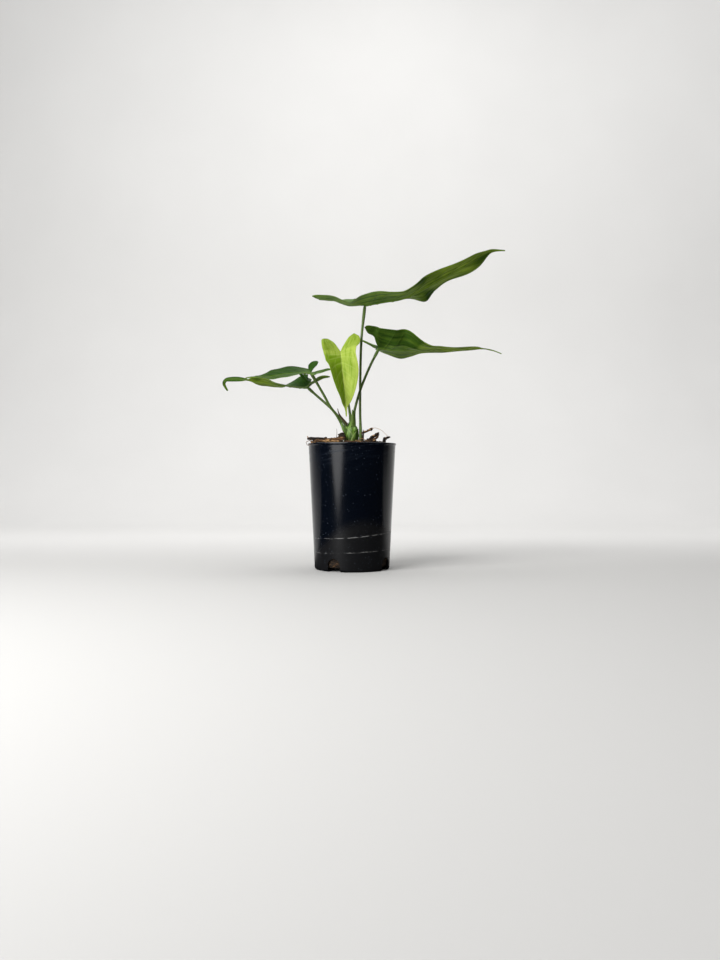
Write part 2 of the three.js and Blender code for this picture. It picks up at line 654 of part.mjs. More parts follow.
// The potting mix: a plug that fills the pot, with bark standing out of its top
function mix() {
  const random = seeded(CHIP_SEED);
  const inside = (z) => potRadius(z) - POT_WALL - FIT;
  const profile = [
    [0, FLOOR_RAISE + POT_WALL + FIT],
    [FLOOR_RAISED_TO + 0.5, FLOOR_RAISE + POT_WALL + FIT],
    [inside(0) - 2.2, FLOOR_RAISE + POT_WALL + FIT],
    [inside(6), 6],
    [inside(MIX_LEVEL_AT_WALL), MIX_LEVEL_AT_WALL],
  ];
  const topRings = 7;
  for (let i = 1; i < topRings; i += 1) {
    const share = 1 - i / topRings;
    const level = THREE.MathUtils.lerp(MIX_LEVEL_AT_STEM, MIX_LEVEL_AT_WALL, share * share);
    profile.push([share * inside(MIX_LEVEL_AT_WALL), level]);
  }
  profile.push([0, MIX_LEVEL_AT_STEM]);
  const plug = mergeVertices(bare(turned(profile, MIX_SIDES)));
  const place = plug.attributes.position;
  for (let i = 0; i < place.count; i += 1) {
    const onTop = place.getZ(i) > MIX_LEVEL_AT_WALL + 0.2;
    if (onTop) place.setZ(i, place.getZ(i) + (random() - 0.5) * 2 * MIX_ROUGHNESS);
  }
  let body = solidOf(plug);
  for (const piece of BARK) body = body.add(barkPiece(piece, random));
  for (let i = 0; i < CHIP_COUNT; i += 1) {
    const angle = random() * 2 * Math.PI;
    const radius = (RIM_RADIUS - 9) * Math.sqrt(0.06 + 0.94 * random());
    const long = 4 + 6 * random();
    const chip = {
      at: [radius * Math.cos(angle), radius * Math.sin(angle), 118.6 + 1.6 * random()],
      size: [long, long * (0.35 + 0.3 * random()), 2 + 1.6 * random()],
      turn: 360 * random(),
      tilt: 40 * (random() - 0.5),
    };
    body = body.add(barkPiece(chip, random));
  }
  return body;
}

const solids = new Map();
const colours = new Map();
function keep(name, colour, solid) {
  solids.set(name, solid);
  colours.set(name, colour);
}

keep("pot", 0x14161a, pot());
const shafts = LEAVES.map((leaf) => stalk(leaf, 0));
const grownShafts = LEAVES.map((leaf) => stalk(leaf, FIT));
let stemBody = stem(0);
for (const shaft of grownShafts) stemBody = stemBody.subtract(shaft);
keep("stem", 0x4f7a2c, stemBody);
keep("roots", 0x8a6f48, roots(0));

let mixBody = mix().subtract(stem(FIT)).subtract(roots(FIT));
for (const shaft of grownShafts) mixBody = mixBody.subtract(shaft);
keep("potting_mix", 0x4c3a28, mixBody);

LEAVES.forEach((leaf, i) => {
  const surface = bladeSurface(leaf);
  keep(`blade_${leaf.name}`, leaf.colour, thickened(surface, 0));
  keep(`petiole_${leaf.name}`, 0x3f6a26, shafts[i].subtract(thickened(surface, 2 * FIT)));
});

for (const piece of SHEATHS) {
  let body = sheath(piece);
  body = body.subtract(stem(FIT));
  for (const shaft of grownShafts) body = body.subtract(shaft);
  keep(piece.name, piece.colour, body);
}

const plant = new THREE.Group();
plant.name = "potted_anthurium";
for (const [name, solid] of solids) {
  const material = new THREE.MeshStandardMaterial({ color: colours.get(name), roughness: 0.5, metalness: 0 });
  const mesh = new THREE.Mesh(geometryOf(solid), material);
  mesh.name = name;
  plant.add(mesh);
}

export default plant;
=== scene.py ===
# %% [markdown]
# # A young potted Anthurium balaoanum
# The plant has five leaves on thin stalks, a short stem, bark mix and a tall black nursery pot. The CAD
# frame holds its size and its plain solids. This script dresses them: fine meshes stand in for the faceted
# leaves, bark and pot, and every surface gets a material made of nodes.

# %% Load the frame
import math

import bpy
import numpy as np
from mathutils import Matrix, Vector, noise


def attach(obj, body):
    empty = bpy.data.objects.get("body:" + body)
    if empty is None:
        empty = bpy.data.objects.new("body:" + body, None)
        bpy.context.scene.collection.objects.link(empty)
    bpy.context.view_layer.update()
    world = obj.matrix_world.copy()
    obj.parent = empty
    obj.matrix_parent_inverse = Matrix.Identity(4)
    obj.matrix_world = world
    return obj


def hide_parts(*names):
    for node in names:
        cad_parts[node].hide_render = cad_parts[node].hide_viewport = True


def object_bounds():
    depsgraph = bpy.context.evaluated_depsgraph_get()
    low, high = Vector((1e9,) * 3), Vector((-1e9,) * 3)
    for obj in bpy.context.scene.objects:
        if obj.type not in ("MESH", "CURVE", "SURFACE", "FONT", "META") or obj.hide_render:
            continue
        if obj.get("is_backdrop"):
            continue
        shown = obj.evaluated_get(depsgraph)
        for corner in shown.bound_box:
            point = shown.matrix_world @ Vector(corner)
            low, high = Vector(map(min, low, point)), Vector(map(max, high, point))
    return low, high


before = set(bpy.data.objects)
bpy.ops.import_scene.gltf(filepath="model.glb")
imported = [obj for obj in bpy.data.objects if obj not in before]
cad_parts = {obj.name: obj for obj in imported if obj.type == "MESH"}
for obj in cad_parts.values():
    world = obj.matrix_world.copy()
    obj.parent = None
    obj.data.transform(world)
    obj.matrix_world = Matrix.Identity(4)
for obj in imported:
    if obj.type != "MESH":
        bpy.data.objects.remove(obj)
cad_box = [list(corner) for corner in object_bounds()]
MM = 0.001
print("CAD nodes:", len(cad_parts))
print("CAD box in mm:", [[round(x / MM, 1) for x in corner] for corner in cad_box])

# %% [markdown]
# ## The camera
# The photograph was taken nearly level, a little above the middle of the pot, with a wide lens. In Blender
# the lens and the sensor's long side set the angle of view, so 32.6 mm on 36 mm gives 870 pixels of focal
# length for a frame 960 pixels high. The camera stands where the pot's rim and foot have the photograph's
# width.

# %% Place the camera
CAMERA_AT = Vector((7.7, -841, 95.3)) * MM
CAMERA_DIPS = math.radians(0.66)
LENS = 32.625

eye = bpy.data.cameras.new("camera")
eye.lens = LENS
eye.sensor_width = 36
camera = bpy.data.objects.new("camera", eye)
camera.location = CAMERA_AT
camera.rotation_euler = (math.radians(90) - CAMERA_DIPS, 0, 0)
bpy.context.scene.collection.objects.link(camera)
bpy.context.scene.camera = camera
bpy.context.scene.view_settings.view_transform = "Standard"
print("camera at", tuple(round(x, 4) for x in camera.location))

# %% [markdown]
# ## Writing shaders as sums
# A Blender material is a graph of nodes, which is slow to read in code. Python can overload its operators,
# so one small class wraps a node's output and lets `1 - mask` or `bark * 0.5` add the Math nodes. Colours
# don't go through Math nodes, because those turn them grey: they go through Mix nodes, in `blend`.

# %% A wire between nodes
class Wire:
    """One output of a node. Python's operators on it add Math nodes."""

    def __init__(self, finish, socket):
        self.finish = finish
        self.socket = socket

    def sum(self, operation, *values):
        return self.finish.node("ShaderNodeMath", {"operation": operation}, dict(enumerate(values)))

    def __add__(self, other):
        return self.sum("ADD", self, other)

    def __sub__(self, other):
        return self.sum("SUBTRACT", self, other)

    def __rsub__(self, other):
        return self.sum("SUBTRACT", other, self)

    def __mul__(self, other):
        return self.sum("MULTIPLY", self, other)

    def __abs__(self):
        return self.sum("ABSOLUTE", self)

    __radd__ = __add__
    __rmul__ = __mul__

    def larger(self, other):
        return self.sum("MAXIMUM", self, other)

    def smaller(self, other):
        return self.sum("MINIMUM", self, other)

    def ramp(self, low, high):
        """0 below low and 1 above high, smooth between them. With low above high it runs down instead."""
        values = {"Value": self, "From Min": low, "From Max": high}
        return self.finish.node("ShaderNodeMapRange", {"interpolation_type": "SMOOTHSTEP"}, values)

    def parts(self):
        """The three numbers of a vector, each as a wire."""
        split = self.finish.node("ShaderNodeSeparateXYZ", {}, {0: self})
        return [Wire(self.finish, socket) for socket in split.socket.node.outputs]

# %% [markdown]
# ## A finish
# Each material starts as an empty graph with one Principled shader. `node` adds any node, with its settings
# first and then its inputs. Nothing here looks at the camera, so the finish stays put from every side.

# %% The material under construction
class Finish:
    """A node material. Lengths in it are metres, as in the meshes."""

    def __init__(self, name, **shader):
        self.material = bpy.data.materials.new(name)
        self.material.use_nodes = True
        self.tree = self.material.node_tree
        self.tree.nodes.clear()
        self.output = self.tree.nodes.new("ShaderNodeOutputMaterial")
        named = {key.replace("_", " ").title(): value for key, value in shader.items()}
        plain = {key.replace("Ior", "IOR"): value for key, value in named.items()}
        self.shader = self.node("ShaderNodeBsdfPrincipled", {}, plain)
        self.tree.links.new(self.shader.socket, self.output.inputs["Surface"])

    def node(self, kind, settings, inputs, output=0):
        made = self.tree.nodes.new(kind)
        for key, value in settings.items():
            setattr(made, key, value)
        self.feed(made, inputs)
        return Wire(self, made.outputs[output])

    def feed(self, node, inputs):
        for key, value in inputs.items():
            if isinstance(value, Wire):
                self.tree.links.new(value.socket, node.inputs[key])
            elif isinstance(value, tuple) and len(value) == 3 and node.inputs[key].type == "RGBA":
                node.inputs[key].default_value = (*value, 1)
            else:
                node.inputs[key].default_value = value

    def paint(self, **inputs):
        """Feeds the Principled shader: paint(base_color=..., roughness=..., normal=...)."""
        named = {key.replace("_", " ").title(): value for key, value in inputs.items()}
        self.feed(self.shader.socket.node, named)

    def place(self):
        """Where the surface is on the object, in metres."""
        return self.node("ShaderNodeTexCoord", {}, {}, output="Object")

    def mark(self, name, vector=False):
        """A value that the mesh carries at each vertex."""
        settings = {"attribute_name": name}
        return self.node("ShaderNodeAttribute", settings, {}, output="Vector" if vector else "Fac")

    def stretched(self, vector, scale):
        return self.node("ShaderNodeMapping", {}, {"Vector": vector, "Scale": scale})

    def turned(self, vector, turn):
        return self.node("ShaderNodeMapping", {}, {"Vector": vector, "Rotation": turn})

    def noise(self, vector, scale, detail=3.0, roughness=0.5):
        values = {"Vector": vector, "Scale": scale, "Detail": detail, "Roughness": roughness}
        return self.node("ShaderNodeTexNoise", {}, values)

    def cells(self, vector, scale, feature="F1"):
        values = {"Vector": vector, "Scale": scale}
        return self.node("ShaderNodeTexVoronoi", {"feature": feature}, values, output="Distance")

    def blend(self, mask, under, over):
        """The colour under where mask is 0 and over where it is 1."""
        made = self.tree.nodes.new("ShaderNodeMix")
        made.data_type = "RGBA"
        colours = [socket for socket in made.inputs if socket.type == "RGBA"]
        self.feed(made, {0: mask})
        for socket, value in zip(colours, (under, over)):
            if isinstance(value, Wire):
                self.tree.links.new(value.socket, socket)
            else:
                socket.default_value = (*value, 1)
        return Wire(self, next(s for s in made.outputs if s.type == "RGBA"))

    def bump(self, height, distance, strength=1.0):
        """Tilts the surface as if height, from 0 to 1, stood out by that many metres."""
        values = {"Height": height, "Distance": distance, "Strength": strength}
        return self.node("ShaderNodeBump", {}, values)


def srgb(red, green, blue):
    """A colour as picture editors write it, as the linear light that shaders use."""
    parts = [value / 255 for value in (red, green, blue)]
    return tuple(c / 12.92 if c <= 0.04045 else ((c + 0.055) / 1.055) ** 2.4 for c in parts)

# %% [markdown]
# ## The studio
# The photograph has a pale wall and soft daylight from the front left, and the room behind the camera is
# dark: that is what the pot's gloss shows. The floor here is pale and curves up behind the plant into a
# wall, so no horizon shows. Its paper is painted a little darker under the plant and in front of it. This
# is painted shade that tones down where light from all the lamps adds up. Large area lights give the
# softness. The window is an oval, so its reflection on the pot narrows towards the foot. The floor is left
# out of reflections and the world's own light is dimmed in them, because the real pot mirrors that dark
# room.

# %% The floor and the wall behind, in one sweep
SWEEP_FRONT = -1.3
SWEEP_BACK = 1.1
SWEEP_SEAM = 0.06
SWEEP_HALF_WIDTH = 2.2
SWEEP_CURVE = 0.5
SWEEP_TOP = 2.4
SWEEP_STEPS = 24
DARKER_UNTIL = 0.45

paper = Finish("studio_paper", roughness=0.9)
place = paper.place()
grain = paper.noise(place, 6.0, detail=2.0)
# Painted shade: the paper's colour is darker under the plant and in front of it.
painted_shade_under_plant = place.parts()[1].ramp(DARKER_UNTIL, 0.0)
tone = paper.blend(grain, srgb(222, 221, 219), srgb(228, 227, 225))
paper.paint(base_color=paper.blend(painted_shade_under_plant, tone, srgb(188, 187, 185)))


def sweep_part(name, line):
    """A strip of studio paper along a side view of (y, z) points."""
    points = [(x, y, z) for y, z in line for x in (-SWEEP_HALF_WIDTH, SWEEP_HALF_WIDTH)]
    faces = [(2 * i, 2 * i + 1, 2 * i + 3, 2 * i + 2) for i in range(len(line) - 1)]
    mesh = bpy.data.meshes.new(name)
    mesh.from_pydata(points, [], faces)
    mesh.shade_smooth()
    mesh.materials.append(paper.material)
    part = bpy.data.objects.new(name, mesh)
    bpy.context.scene.collection.objects.link(part)
    part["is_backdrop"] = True
    return part


curve = []
for turn in np.radians(np.linspace(0, 90, SWEEP_STEPS)):
    y = SWEEP_BACK - SWEEP_CURVE * (1 - math.sin(turn))
    curve.append((y, SWEEP_CURVE * (1 - math.cos(turn))))
floor = sweep_part("floor", [(SWEEP_FRONT, 0.0), (SWEEP_SEAM, 0.0)])
wall = sweep_part("wall", [(SWEEP_SEAM, 0.0), *curve, (SWEEP_BACK, SWEEP_TOP)])
floor.visible_glossy = False
print("sweep:", len(floor.data.polygons) + len(wall.data.polygons), "faces")

# %% The lights
LIGHTS = [
    # name, shape, place, aimed at, width, height, watts
    ("window", "ELLIPSE", (-0.44, -0.56, 0.40), (0, 0, 0.2), 0.70, 0.90, 6.0),
    ("key", "RECTANGLE", (-0.85, -0.85, 1.0), (0.02, 0, 0.18), 0.8, 0.8, 11.0),
    ("top", "RECTANGLE", (0.1, 0.1, 1.3), (0, 0, 0.15), 1.2, 1.2, 6.0),
    ("wall_light", "RECTANGLE", (0.5, 0.35, 1.5), (0.5, 1.1, 0.5), 2.4, 0.6, 8.0),
]


def softbox(name, shape, place, target, width, height, watts):
    lamp = bpy.data.lights.new(name, "AREA")
    lamp.shape = shape
    lamp.size = width
    lamp.size_y = height
    lamp.energy = watts
    box = bpy.data.objects.new(name, lamp)
    box.location = place
    aim = Vector(target) - Vector(place)
    box.rotation_euler = aim.to_track_quat("-Z", "Y").to_euler()
    box.visible_camera = False
    bpy.context.scene.collection.objects.link(box)
    return box


for light in LIGHTS:
    softbox(*light)
print("lights:", len(LIGHTS))

# %% The world's own light
WORLD_LIGHT = 0.3
WORLD_REFLECTED = 0.02
WORLD_SEEN = 0.72

room = bpy.data.worlds.new("room")
room.use_nodes = True
bpy.context.scene.world = room
sky = room.node_tree.nodes["Background"]
sky.inputs["Color"].default_value = (*srgb(244, 245, 247), 1)
ray = room.node_tree.nodes.new("ShaderNodeLightPath")
seen = room.node_tree.nodes.new("ShaderNodeMapRange")
seen.inputs["To Min"].default_value = WORLD_LIGHT
seen.inputs["To Max"].default_value = WORLD_SEEN
glossy = room.node_tree.nodes.new("ShaderNodeMix")
glossy.inputs["B"].default_value = WORLD_REFLECTED
room.node_tree.links.new(ray.outputs["Is Camera Ray"], seen.inputs["Value"])
room.node_tree.links.new(seen.outputs["Result"], glossy.inputs["A"])
room.node_tree.links.new(ray.outputs["Is Glossy Ray"], glossy.inputs["Factor"])
room.node_tree.links.new(glossy.outputs["Result"], sky.inputs["Strength"])
print("world light:", WORLD_LIGHT, "seen:", WORLD_SEEN, "reflected:", WORLD_REFLECTED)

# %% [markdown]
# ## From numbers to a piece
# Every piece below is worked out as arrays of points and faces, in millimetres, and turned into a Blender
# mesh by one helper. It also carries values at the vertices, such as where the veins run, for the shaders
# to read. The piece rides on the frame's one body, takes the material it is given, and may stand in for a
# CAD node.

# %% Make a piece
def as_piece(name, points, faces, material, stands_for=(), marks=None, sharp=None):
    mesh = bpy.data.meshes.new(name)
    mesh.from_pydata((np.asarray(points) * MM).tolist(), [], [tuple(map(int, face)) for face in faces])
    for key, values in (marks or {}).items():
        values = np.asarray(values, np.float32)
        wide = values.ndim == 2
        layer = mesh.attributes.new(key, "FLOAT_VECTOR" if wide else "FLOAT", "POINT")
        layer.data.foreach_set("vector" if wide else "value", values.ravel())
    mesh.shade_smooth()
    if sharp is not None:
        mesh.set_sharp_from_angle(angle=math.radians(sharp))
    mesh.materials.append(material)
    made = bpy.data.objects.new(name, mesh)
    bpy.context.scene.collection.objects.link(made)
    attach(made, "root")
    if stands_for:
        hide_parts(*stands_for)
    print(f"{name}: {len(mesh.vertices)} points, {len(mesh.polygons)} faces")
    return made


def unit(vectors):
    return vectors / np.maximum(np.linalg.norm(vectors, axis=-1, keepdims=True), 1e-12)


def eased(value, low, high):
    """0 below low, 1 above high and smooth between."""
    share = np.clip((np.asarray(value, float) - low) / (high - low), 0, 1)
    return share * share * (3 - 2 * share)

# %% [markdown]
# ## Smooth lines through a few points
# A leaf's midrib, a stalk and a fibre are all smooth curves through a few named points. A Catmull-Rom
# spline passes through every point. The centripetal kind, used here, doesn't loop or overshoot where points
# are close together. The curve is sampled once, finely, and then read by its length, so equal shares are
# equal distances.

# %% Curves
SPINE_SAMPLES = 1600


class Spine:
    """A smooth curve through points, read by the share of its length."""

    def __init__(self, points):
        given = np.array(points, float)
        given = np.vstack([2 * given[0] - given[1], given, 2 * given[-1] - given[-2]])
        gaps = np.linalg.norm(np.diff(given, axis=0), axis=1) ** 0.5
        spans = len(given) - 3
        along = np.linspace(0, spans, SPINE_SAMPLES)
        first = np.minimum(along.astype(int), spans - 1)
        t = (along - first)[:, None]
        a, b, c, d = (given[first + i] for i in range(4))
        before, here, after = (gaps[first + i][:, None] for i in range(3))
        leaving = ((b - a) / before - (c - a) / (before + here) + (c - b) / here) * here
        arriving = ((c - b) / here - (d - b) / (here + after) + (d - c) / after) * here
        square = -3 * b + 3 * c - 2 * leaving - arriving
        cube = 2 * b - 2 * c + leaving + arriving
        self.line = b + leaving * t + square * t**2 + cube * t**3
        steps = np.linalg.norm(np.diff(self.line, axis=0), axis=1)
        self.length = steps.sum()
        self.shares = np.concatenate([[0], np.cumsum(steps)]) / self.length
        self.headings = unit(np.gradient(self.line, axis=0))

    def read(self, table, shares):
        shares = np.asarray(shares, float)
        return np.stack([np.interp(shares, self.shares, table[:, k]) for k in range(3)], axis=-1)

    def place(self, shares):
        return self.read(self.line, shares)

    def heading(self, shares):
        return unit(self.read(self.headings, shares))


def through(places, values):
    """A smooth function of one number that passes through the given values."""
    places = np.array(places, float)
    values = np.array(values, float)
    slopes = np.gradient(values, places)
    slopes[1:-1] = (values[2:] - values[:-2]) / (places[2:] - places[:-2])

    def read(at):
        at = np.clip(at, places[0], places[-1])
        i = np.clip(np.searchsorted(places, at, side="right") - 1, 0, len(places) - 2)
        width = places[i + 1] - places[i]
        t = (at - places[i]) / width
        start = (1 + 2 * t) * (1 - t) ** 2 * values[i] + t * (1 - t) ** 2 * width * slopes[i]
        return start + t * t * (3 - 2 * t) * values[i + 1] + t * t * (t - 1) * width * slopes[i + 1]

    return read


def edge_line(edge, shares):
    """A blade's outline edge at shares of its control points, as (along, across)."""
    edge = np.array(edge, float)
    spans = len(edge) - 1
    spot = np.minimum(shares * spans, spans - 1e-9)
    i = spot.astype(int)
    t = (spot - i)[..., None]
    a = edge[np.maximum(i - 1, 0)]
    b = edge[i]
    c = edge[i + 1]
    d = edge[np.minimum(i + 2, spans)]
    square = 2 * a - 5 * b + 4 * c - d
    cube = 3 * b - a - 3 * c + d
    curved = b + (c - a) * t / 2 + square * t**2 / 2 + cube * t**3 / 2
    straight = b + (c - b) * t
    flat = ((b[..., 1] == 0) & (c[..., 1] == 0))[..., None]
    result = np.where(flat, straight, curved)
    result[..., 1] = np.maximum(result[..., 1], 0)
    return result

# %% [markdown]
# ## What a leaf is
# A blade is arrow-shaped: a long body ahead of the stalk and two rounded lobes behind it. It could be a
# flat outline bent by an armature, but its two halves tilt by different amounts all along, which is what
# gives the real leaf its folds. So each half is a surface of its own: it starts at the midrib or at a
# lobe's inner edge, and rises from it by a named angle. The middle leaf's halves are also creased along a
# line beside the midrib. These are the same values as the CAD source's, so the fine blade lies on the plain
# one. Places along a leaf run from -1 at the tip of a lobe, through 0 at the stalk, to 1 at the tip of the
# leaf.

# %% The leaves' own values
RIGHT = 1
LEFT = -1
BODY_OUTER = [(0.0, 1.0), (0.14, 0.97), (0.36, 0.93)]
BODY_INNER = [(0.0, 0), (0.08, 0), (0.25, 0), (0.48, 0), (0.7, 0), (0.86, 0), (1.0, 0)]
HANGS_AT = (2, 16)  # degrees below level where a half starts to hang and where it hangs fully
HANGS_BEFORE = (0.7, 0.5)
FOLD_ACROSS = 0.38
FOLD_STARTS = (0.0, 0.13)
FOLD_ENDS = (0.5, 0.24)
RISE_AT = [-1, -0.75, -0.5, -0.25, 0, 0.1, 0.2, 0.3, 0.38, 0.46, 0.58, 0.75, 0.9, 1]

LEAVES = {
    "top": {
        "face": (0, 0, 1),
        "rib": [
            (12.4, 4, 254.6), (32.1, 2, 257.6), (45.8, 0, 259.4), (55, -1, 262.3), (68.9, -4, 268.8),
            (86.2, -8, 277.4), (99.5, -11, 284.2), (112.7, -14, 291.7), (125.7, -17, 299.7),
            (131.6, -18, 302.3), (144.3, -20, 301.8),
        ],
        "lobes": {
            RIGHT: [(-3, 4, 253.4), (-12, 3, 255.6), (-19, 2, 257.4), (-31, 0, 256.8), (-41, -2, 257.8)],
            LEFT: [(-3, 5, 254), (-14, 8, 258), (-24, 10, 261), (-36, 12, 261)],
        },
        "width": 23,
        "sinus": [(-1.0, 0.72), (-0.86, 0.4), (-0.4, 0.17)],
        "lobe": [(-1.0, 0.72), (-0.88, 1.02), (-0.45, 1.13)],
        "taper": [(0.6, 0.72), (0.78, 0.5), (0.89, 0.17), (1.0, 0.03)],
        "rise": {
            RIGHT: [5, 6, -1, -1, 14, 20, 11, 3, 5, 17, 20, 10, 12, 8],
            LEFT: [14, 10, 20, 27, 12, 11, 11, 6, -18, -3, 1, -27, -28, -10],
        },
        "ripple": {RIGHT: (0.7, 4, 0.1), LEFT: (0.7, 4, 0.3)},
        "stalk": [
            (8.2, -2, 108), (8.2, -2, 131), (7.8, -1, 149), (7.8, 0, 174), (9.0, 2, 221), (11.7, 4, 248),
        ],
    },
    "middle": {
        "face": (0, 0, 1),
        "rib": [
            (25.9, 8, 213.7), (40.8, 11, 212.3), (54.2, 13, 212.1), (75.1, 17, 213.7), (96.2, 20, 214),
            (112, 23, 215.2), (128, 25, 216), (138.7, 27, 214.8), (148.8, 28, 211.3),
        ],
        "lobes": {
            RIGHT: [(19, 7, 215), (12, 5, 217), (5, 3, 219.5)],
            LEFT: [(24, 8.4, 216.4), (17.5, 9, 220.6), (10, 10, 224.3), (5, 11, 226.4)],
        },
        "width": 23.8,
        "sinus": [(-1.0, 0.7), (-0.75, 0.52), (-0.36, 0.45)],
        "lobe": [(-1.0, 0.7), (-0.88, 0.84), (-0.45, 0.93)],
        "taper": [(0.6, 0.66), (0.77, 0.42), (0.85, 0.1), (1.0, 0.03)],
        "rise": {
            RIGHT: [54, 54, 52, 46, 45, 48, 54, 17, 3, 3, 2, 1, 0, 0],
            LEFT: [-6, -6, -5, -2, 6, -3, -12, -7, -1, -1, -3, 1, 0, 0],
        },
        "fold": {RIGHT: 4.6, LEFT: -1.2},
        "ripple": {RIGHT: (0.5, 4, 0.2), LEFT: (0.5, 4, 0.6)},
        "stalk": [
            (1.8, -3, 131), (1.9, -4, 140), (2.2, -5, 150.8), (3.8, -6, 158), (8.6, -6, 173.9),
            (17.9, 2, 196.9), (25, 7.4, 211.5),
        ],
    },
    "young": {
        "face": (0, -1, 0.2),
        "rib": [(-10.7, -8, 208), (-9.6, -13, 197), (-9, -16, 187.5), (-6.7, -18, 165.7), (-5.1, -16, 146)],
        "lobes": {
            RIGHT: [(-10.9, -6.5, 212), (-11.2, -1, 217.2)],
            LEFT: [(-10.9, -6.5, 212), (-11.2, -1, 225.4)],
        },
        "width": 17.5,
        "sinus": [(-1.0, 0.78), (-0.78, 0.46), (-0.36, 0.2)],
        "lobe": [(-1.0, 0.78), (-0.8, 1.05), (-0.42, 1.12)],
        "taper": [(0.6, 0.7), (0.77, 0.36), (0.87, 0.08), (1.0, 0.03)],
        "rise": {
            RIGHT: [25, 25, 24, 21, 18, 25, 27, 43, 49, 53, 57, 54, 30, 0],
            LEFT: [10, 11, 14, 21, 31, 33, 30, 24, 21, 20, 20, 20, 10, 0],
        },
        "ripple": {RIGHT: (0.7, 4, 0.2), LEFT: (0.7, 4, 0.5)},
        "stalk": [(-0.6, 2.6, 133), (-1.2, 2, 142), (-3.2, 0, 157), (-7.5, -1, 180), (-10.4, -3, 203)],
    },
    "low": {
        "face": (0, 0, 1),
        "rib": [
            (-42.6, 6, 175.3), (-52.8, 8, 175.8), (-66.2, 10, 177.8), (-80.6, 13, 179.9),
            (-94.6, 15, 181.9), (-109.6, 17, 184.6), (-118.9, 19, 185), (-124.9, 20, 184.2),
            (-126.7, 20, 181.2), (-125.5, 20, 177.5), (-123.1, 20, 173.7),
        ],
        "lobes": {
            RIGHT: [(-40.2, 9, 177.9), (-37.7, 15, 180.4), (-36.2, 21, 182.4), (-35.7, 25, 183.4)],
            LEFT: [(-38.4, 5.5, 178.2), (-33.2, 4, 180.4), (-26.2, 2, 182.6), (-19.7, 1, 183)],
        },
        "width": 17,
        "sinus": [(-1.0, 0.5), (-0.86, 0.3), (-0.4, 0.17)],
        "lobe": [(-1.0, 0.5), (-0.88, 0.76), (-0.45, 0.95)],
        "taper": [(0.52, 0.55), (0.66, 0.2), (0.84, 0.15), (1.0, 0.05)],
        "rise": {
            RIGHT: [20, 30, 40, 50, 55, 52, 24, -3, -7, -8, -11, 60, 60, 60],
            LEFT: [10, 8, -2, -4, -4, -3, -2, 4, 14, 24, 36, -60, -60, -60],
        },
        "ripple": {RIGHT: (0.4, 4, 0.2), LEFT: (0.4, 4, 0.6)},
        "stalk": [
            (-4.6, 2.6, 132), (-6.6, 2.6, 139.5), (-14.4, 2.8, 148.4), (-21.4, 3.6, 155.9),
            (-33.2, 5, 166.4), (-41.6, 6, 174),
        ],
    },
    "high": {
        "face": (0, 0, 1),
        "rib": [
            (-39.1, -14, 187.3), (-45.5, -15, 187.4), (-52.2, -16, 186.9), (-64.3, -18, 185.4),
            (-71.2, -19, 184.3), (-77.6, -20, 183.1), (-84.4, -21, 183.1), (-99, -22, 182),
            (-102.3, -22, 179.6),
        ],
        "lobes": {
            RIGHT: [(-35, -13, 188.5), (-29.6, -12, 189.5)],
            LEFT: [(-34.6, -14, 188.6), (-30.3, -14.5, 190.6), (-22.7, -15, 193.7), (-19.7, -15, 194.2)],
        },
        "width": 15,
        "sinus": [(-1.0, 0.7), (-0.8, 0.5), (-0.4, 0.3)],
        "lobe": [(-1.0, 0.7), (-0.88, 0.82), (-0.45, 0.95)],
        "taper": [(0.6, 0.66), (0.74, 0.3), (0.86, 0.1), (1.0, 0.06)],
        "rise": {
            RIGHT: [62, 58, 50, 34, 22, 27, 32, 35, 35, 36, 40, 20, 20, 20],
            LEFT: [-26, -26, -23, -17, -12, -8, -9, -12, -15, -17, -22, -16, -20, -20],
        },
        "ripple": {RIGHT: (0.4, 4, 0.2), LEFT: (0.4, 4, 0.6)},
        "stalk": [
            (-4, -3, 125), (-6.2, -3.6, 131), (-14.3, -6.5, 147), (-20.9, -9, 155.9), (-26.9, -11.9, 166.8),
            (-37.9, -13.8, 185.6),
        ],
    },
}
print("leaves:", ", ".join(LEAVES))

# %% [markdown]
# ## Where the veins run
# An anthurium's side veins leave the midrib at a slant and meet a collective vein that runs just inside the
# margin. More veins fan from the stalk into the lobes. They could be painted in the shader alone, but then
# they'd be flat against the light. Here the grid of the blade has its lines packed along each vein, so the
# sunken vein above and the raised one below are real relief.

# %% The blade's grid
LOBE_SHARE = 1 / 3
SIDE_VEINS = [0.08, 0.17, 0.27, 0.37, 0.47, 0.57, 0.67, 0.77, 0.87]
BETWEEN_VEINS = [0, 0.04, 0.09, 0.17, 0.28, 0.42, 0.58, 0.72, 0.83, 0.91, 0.96]
LOBE_STEPS = 44
RIPPLE_RISE = 1.6
VEIN_SLANT = 0.055
COLLECTIVE_VEIN = 0.86
ACROSS = [
    0, 0.012, 0.03, 0.055, 0.09, 0.13, 0.18, 0.23, 0.28, 0.33, 0.38, 0.43, 0.48, 0.53, 0.58,
    0.63, 0.68, 0.73, 0.77, 0.805, 0.83, 0.845, 0.86, 0.875, 0.89, 0.915, 0.945, 0.975, 1,
]


def station_shares():
    """Shares along a blade's outline: even in the lobes, then closer together beside each side vein."""
    lobes = np.linspace(0, LOBE_SHARE, LOBE_STEPS, endpoint=False)
    veins = [0.0, *SIDE_VEINS, 1.0]
    ahead = [a + (b - a) * t for a, b in zip(veins, veins[1:]) for t in BETWEEN_VEINS] + [1.0]
    return np.concatenate([lobes, LOBE_SHARE + (1 - LOBE_SHARE) * np.array(ahead)])


STATIONS = station_shares()
print("grid of a half-blade:", len(STATIONS), "by", len(ACROSS))

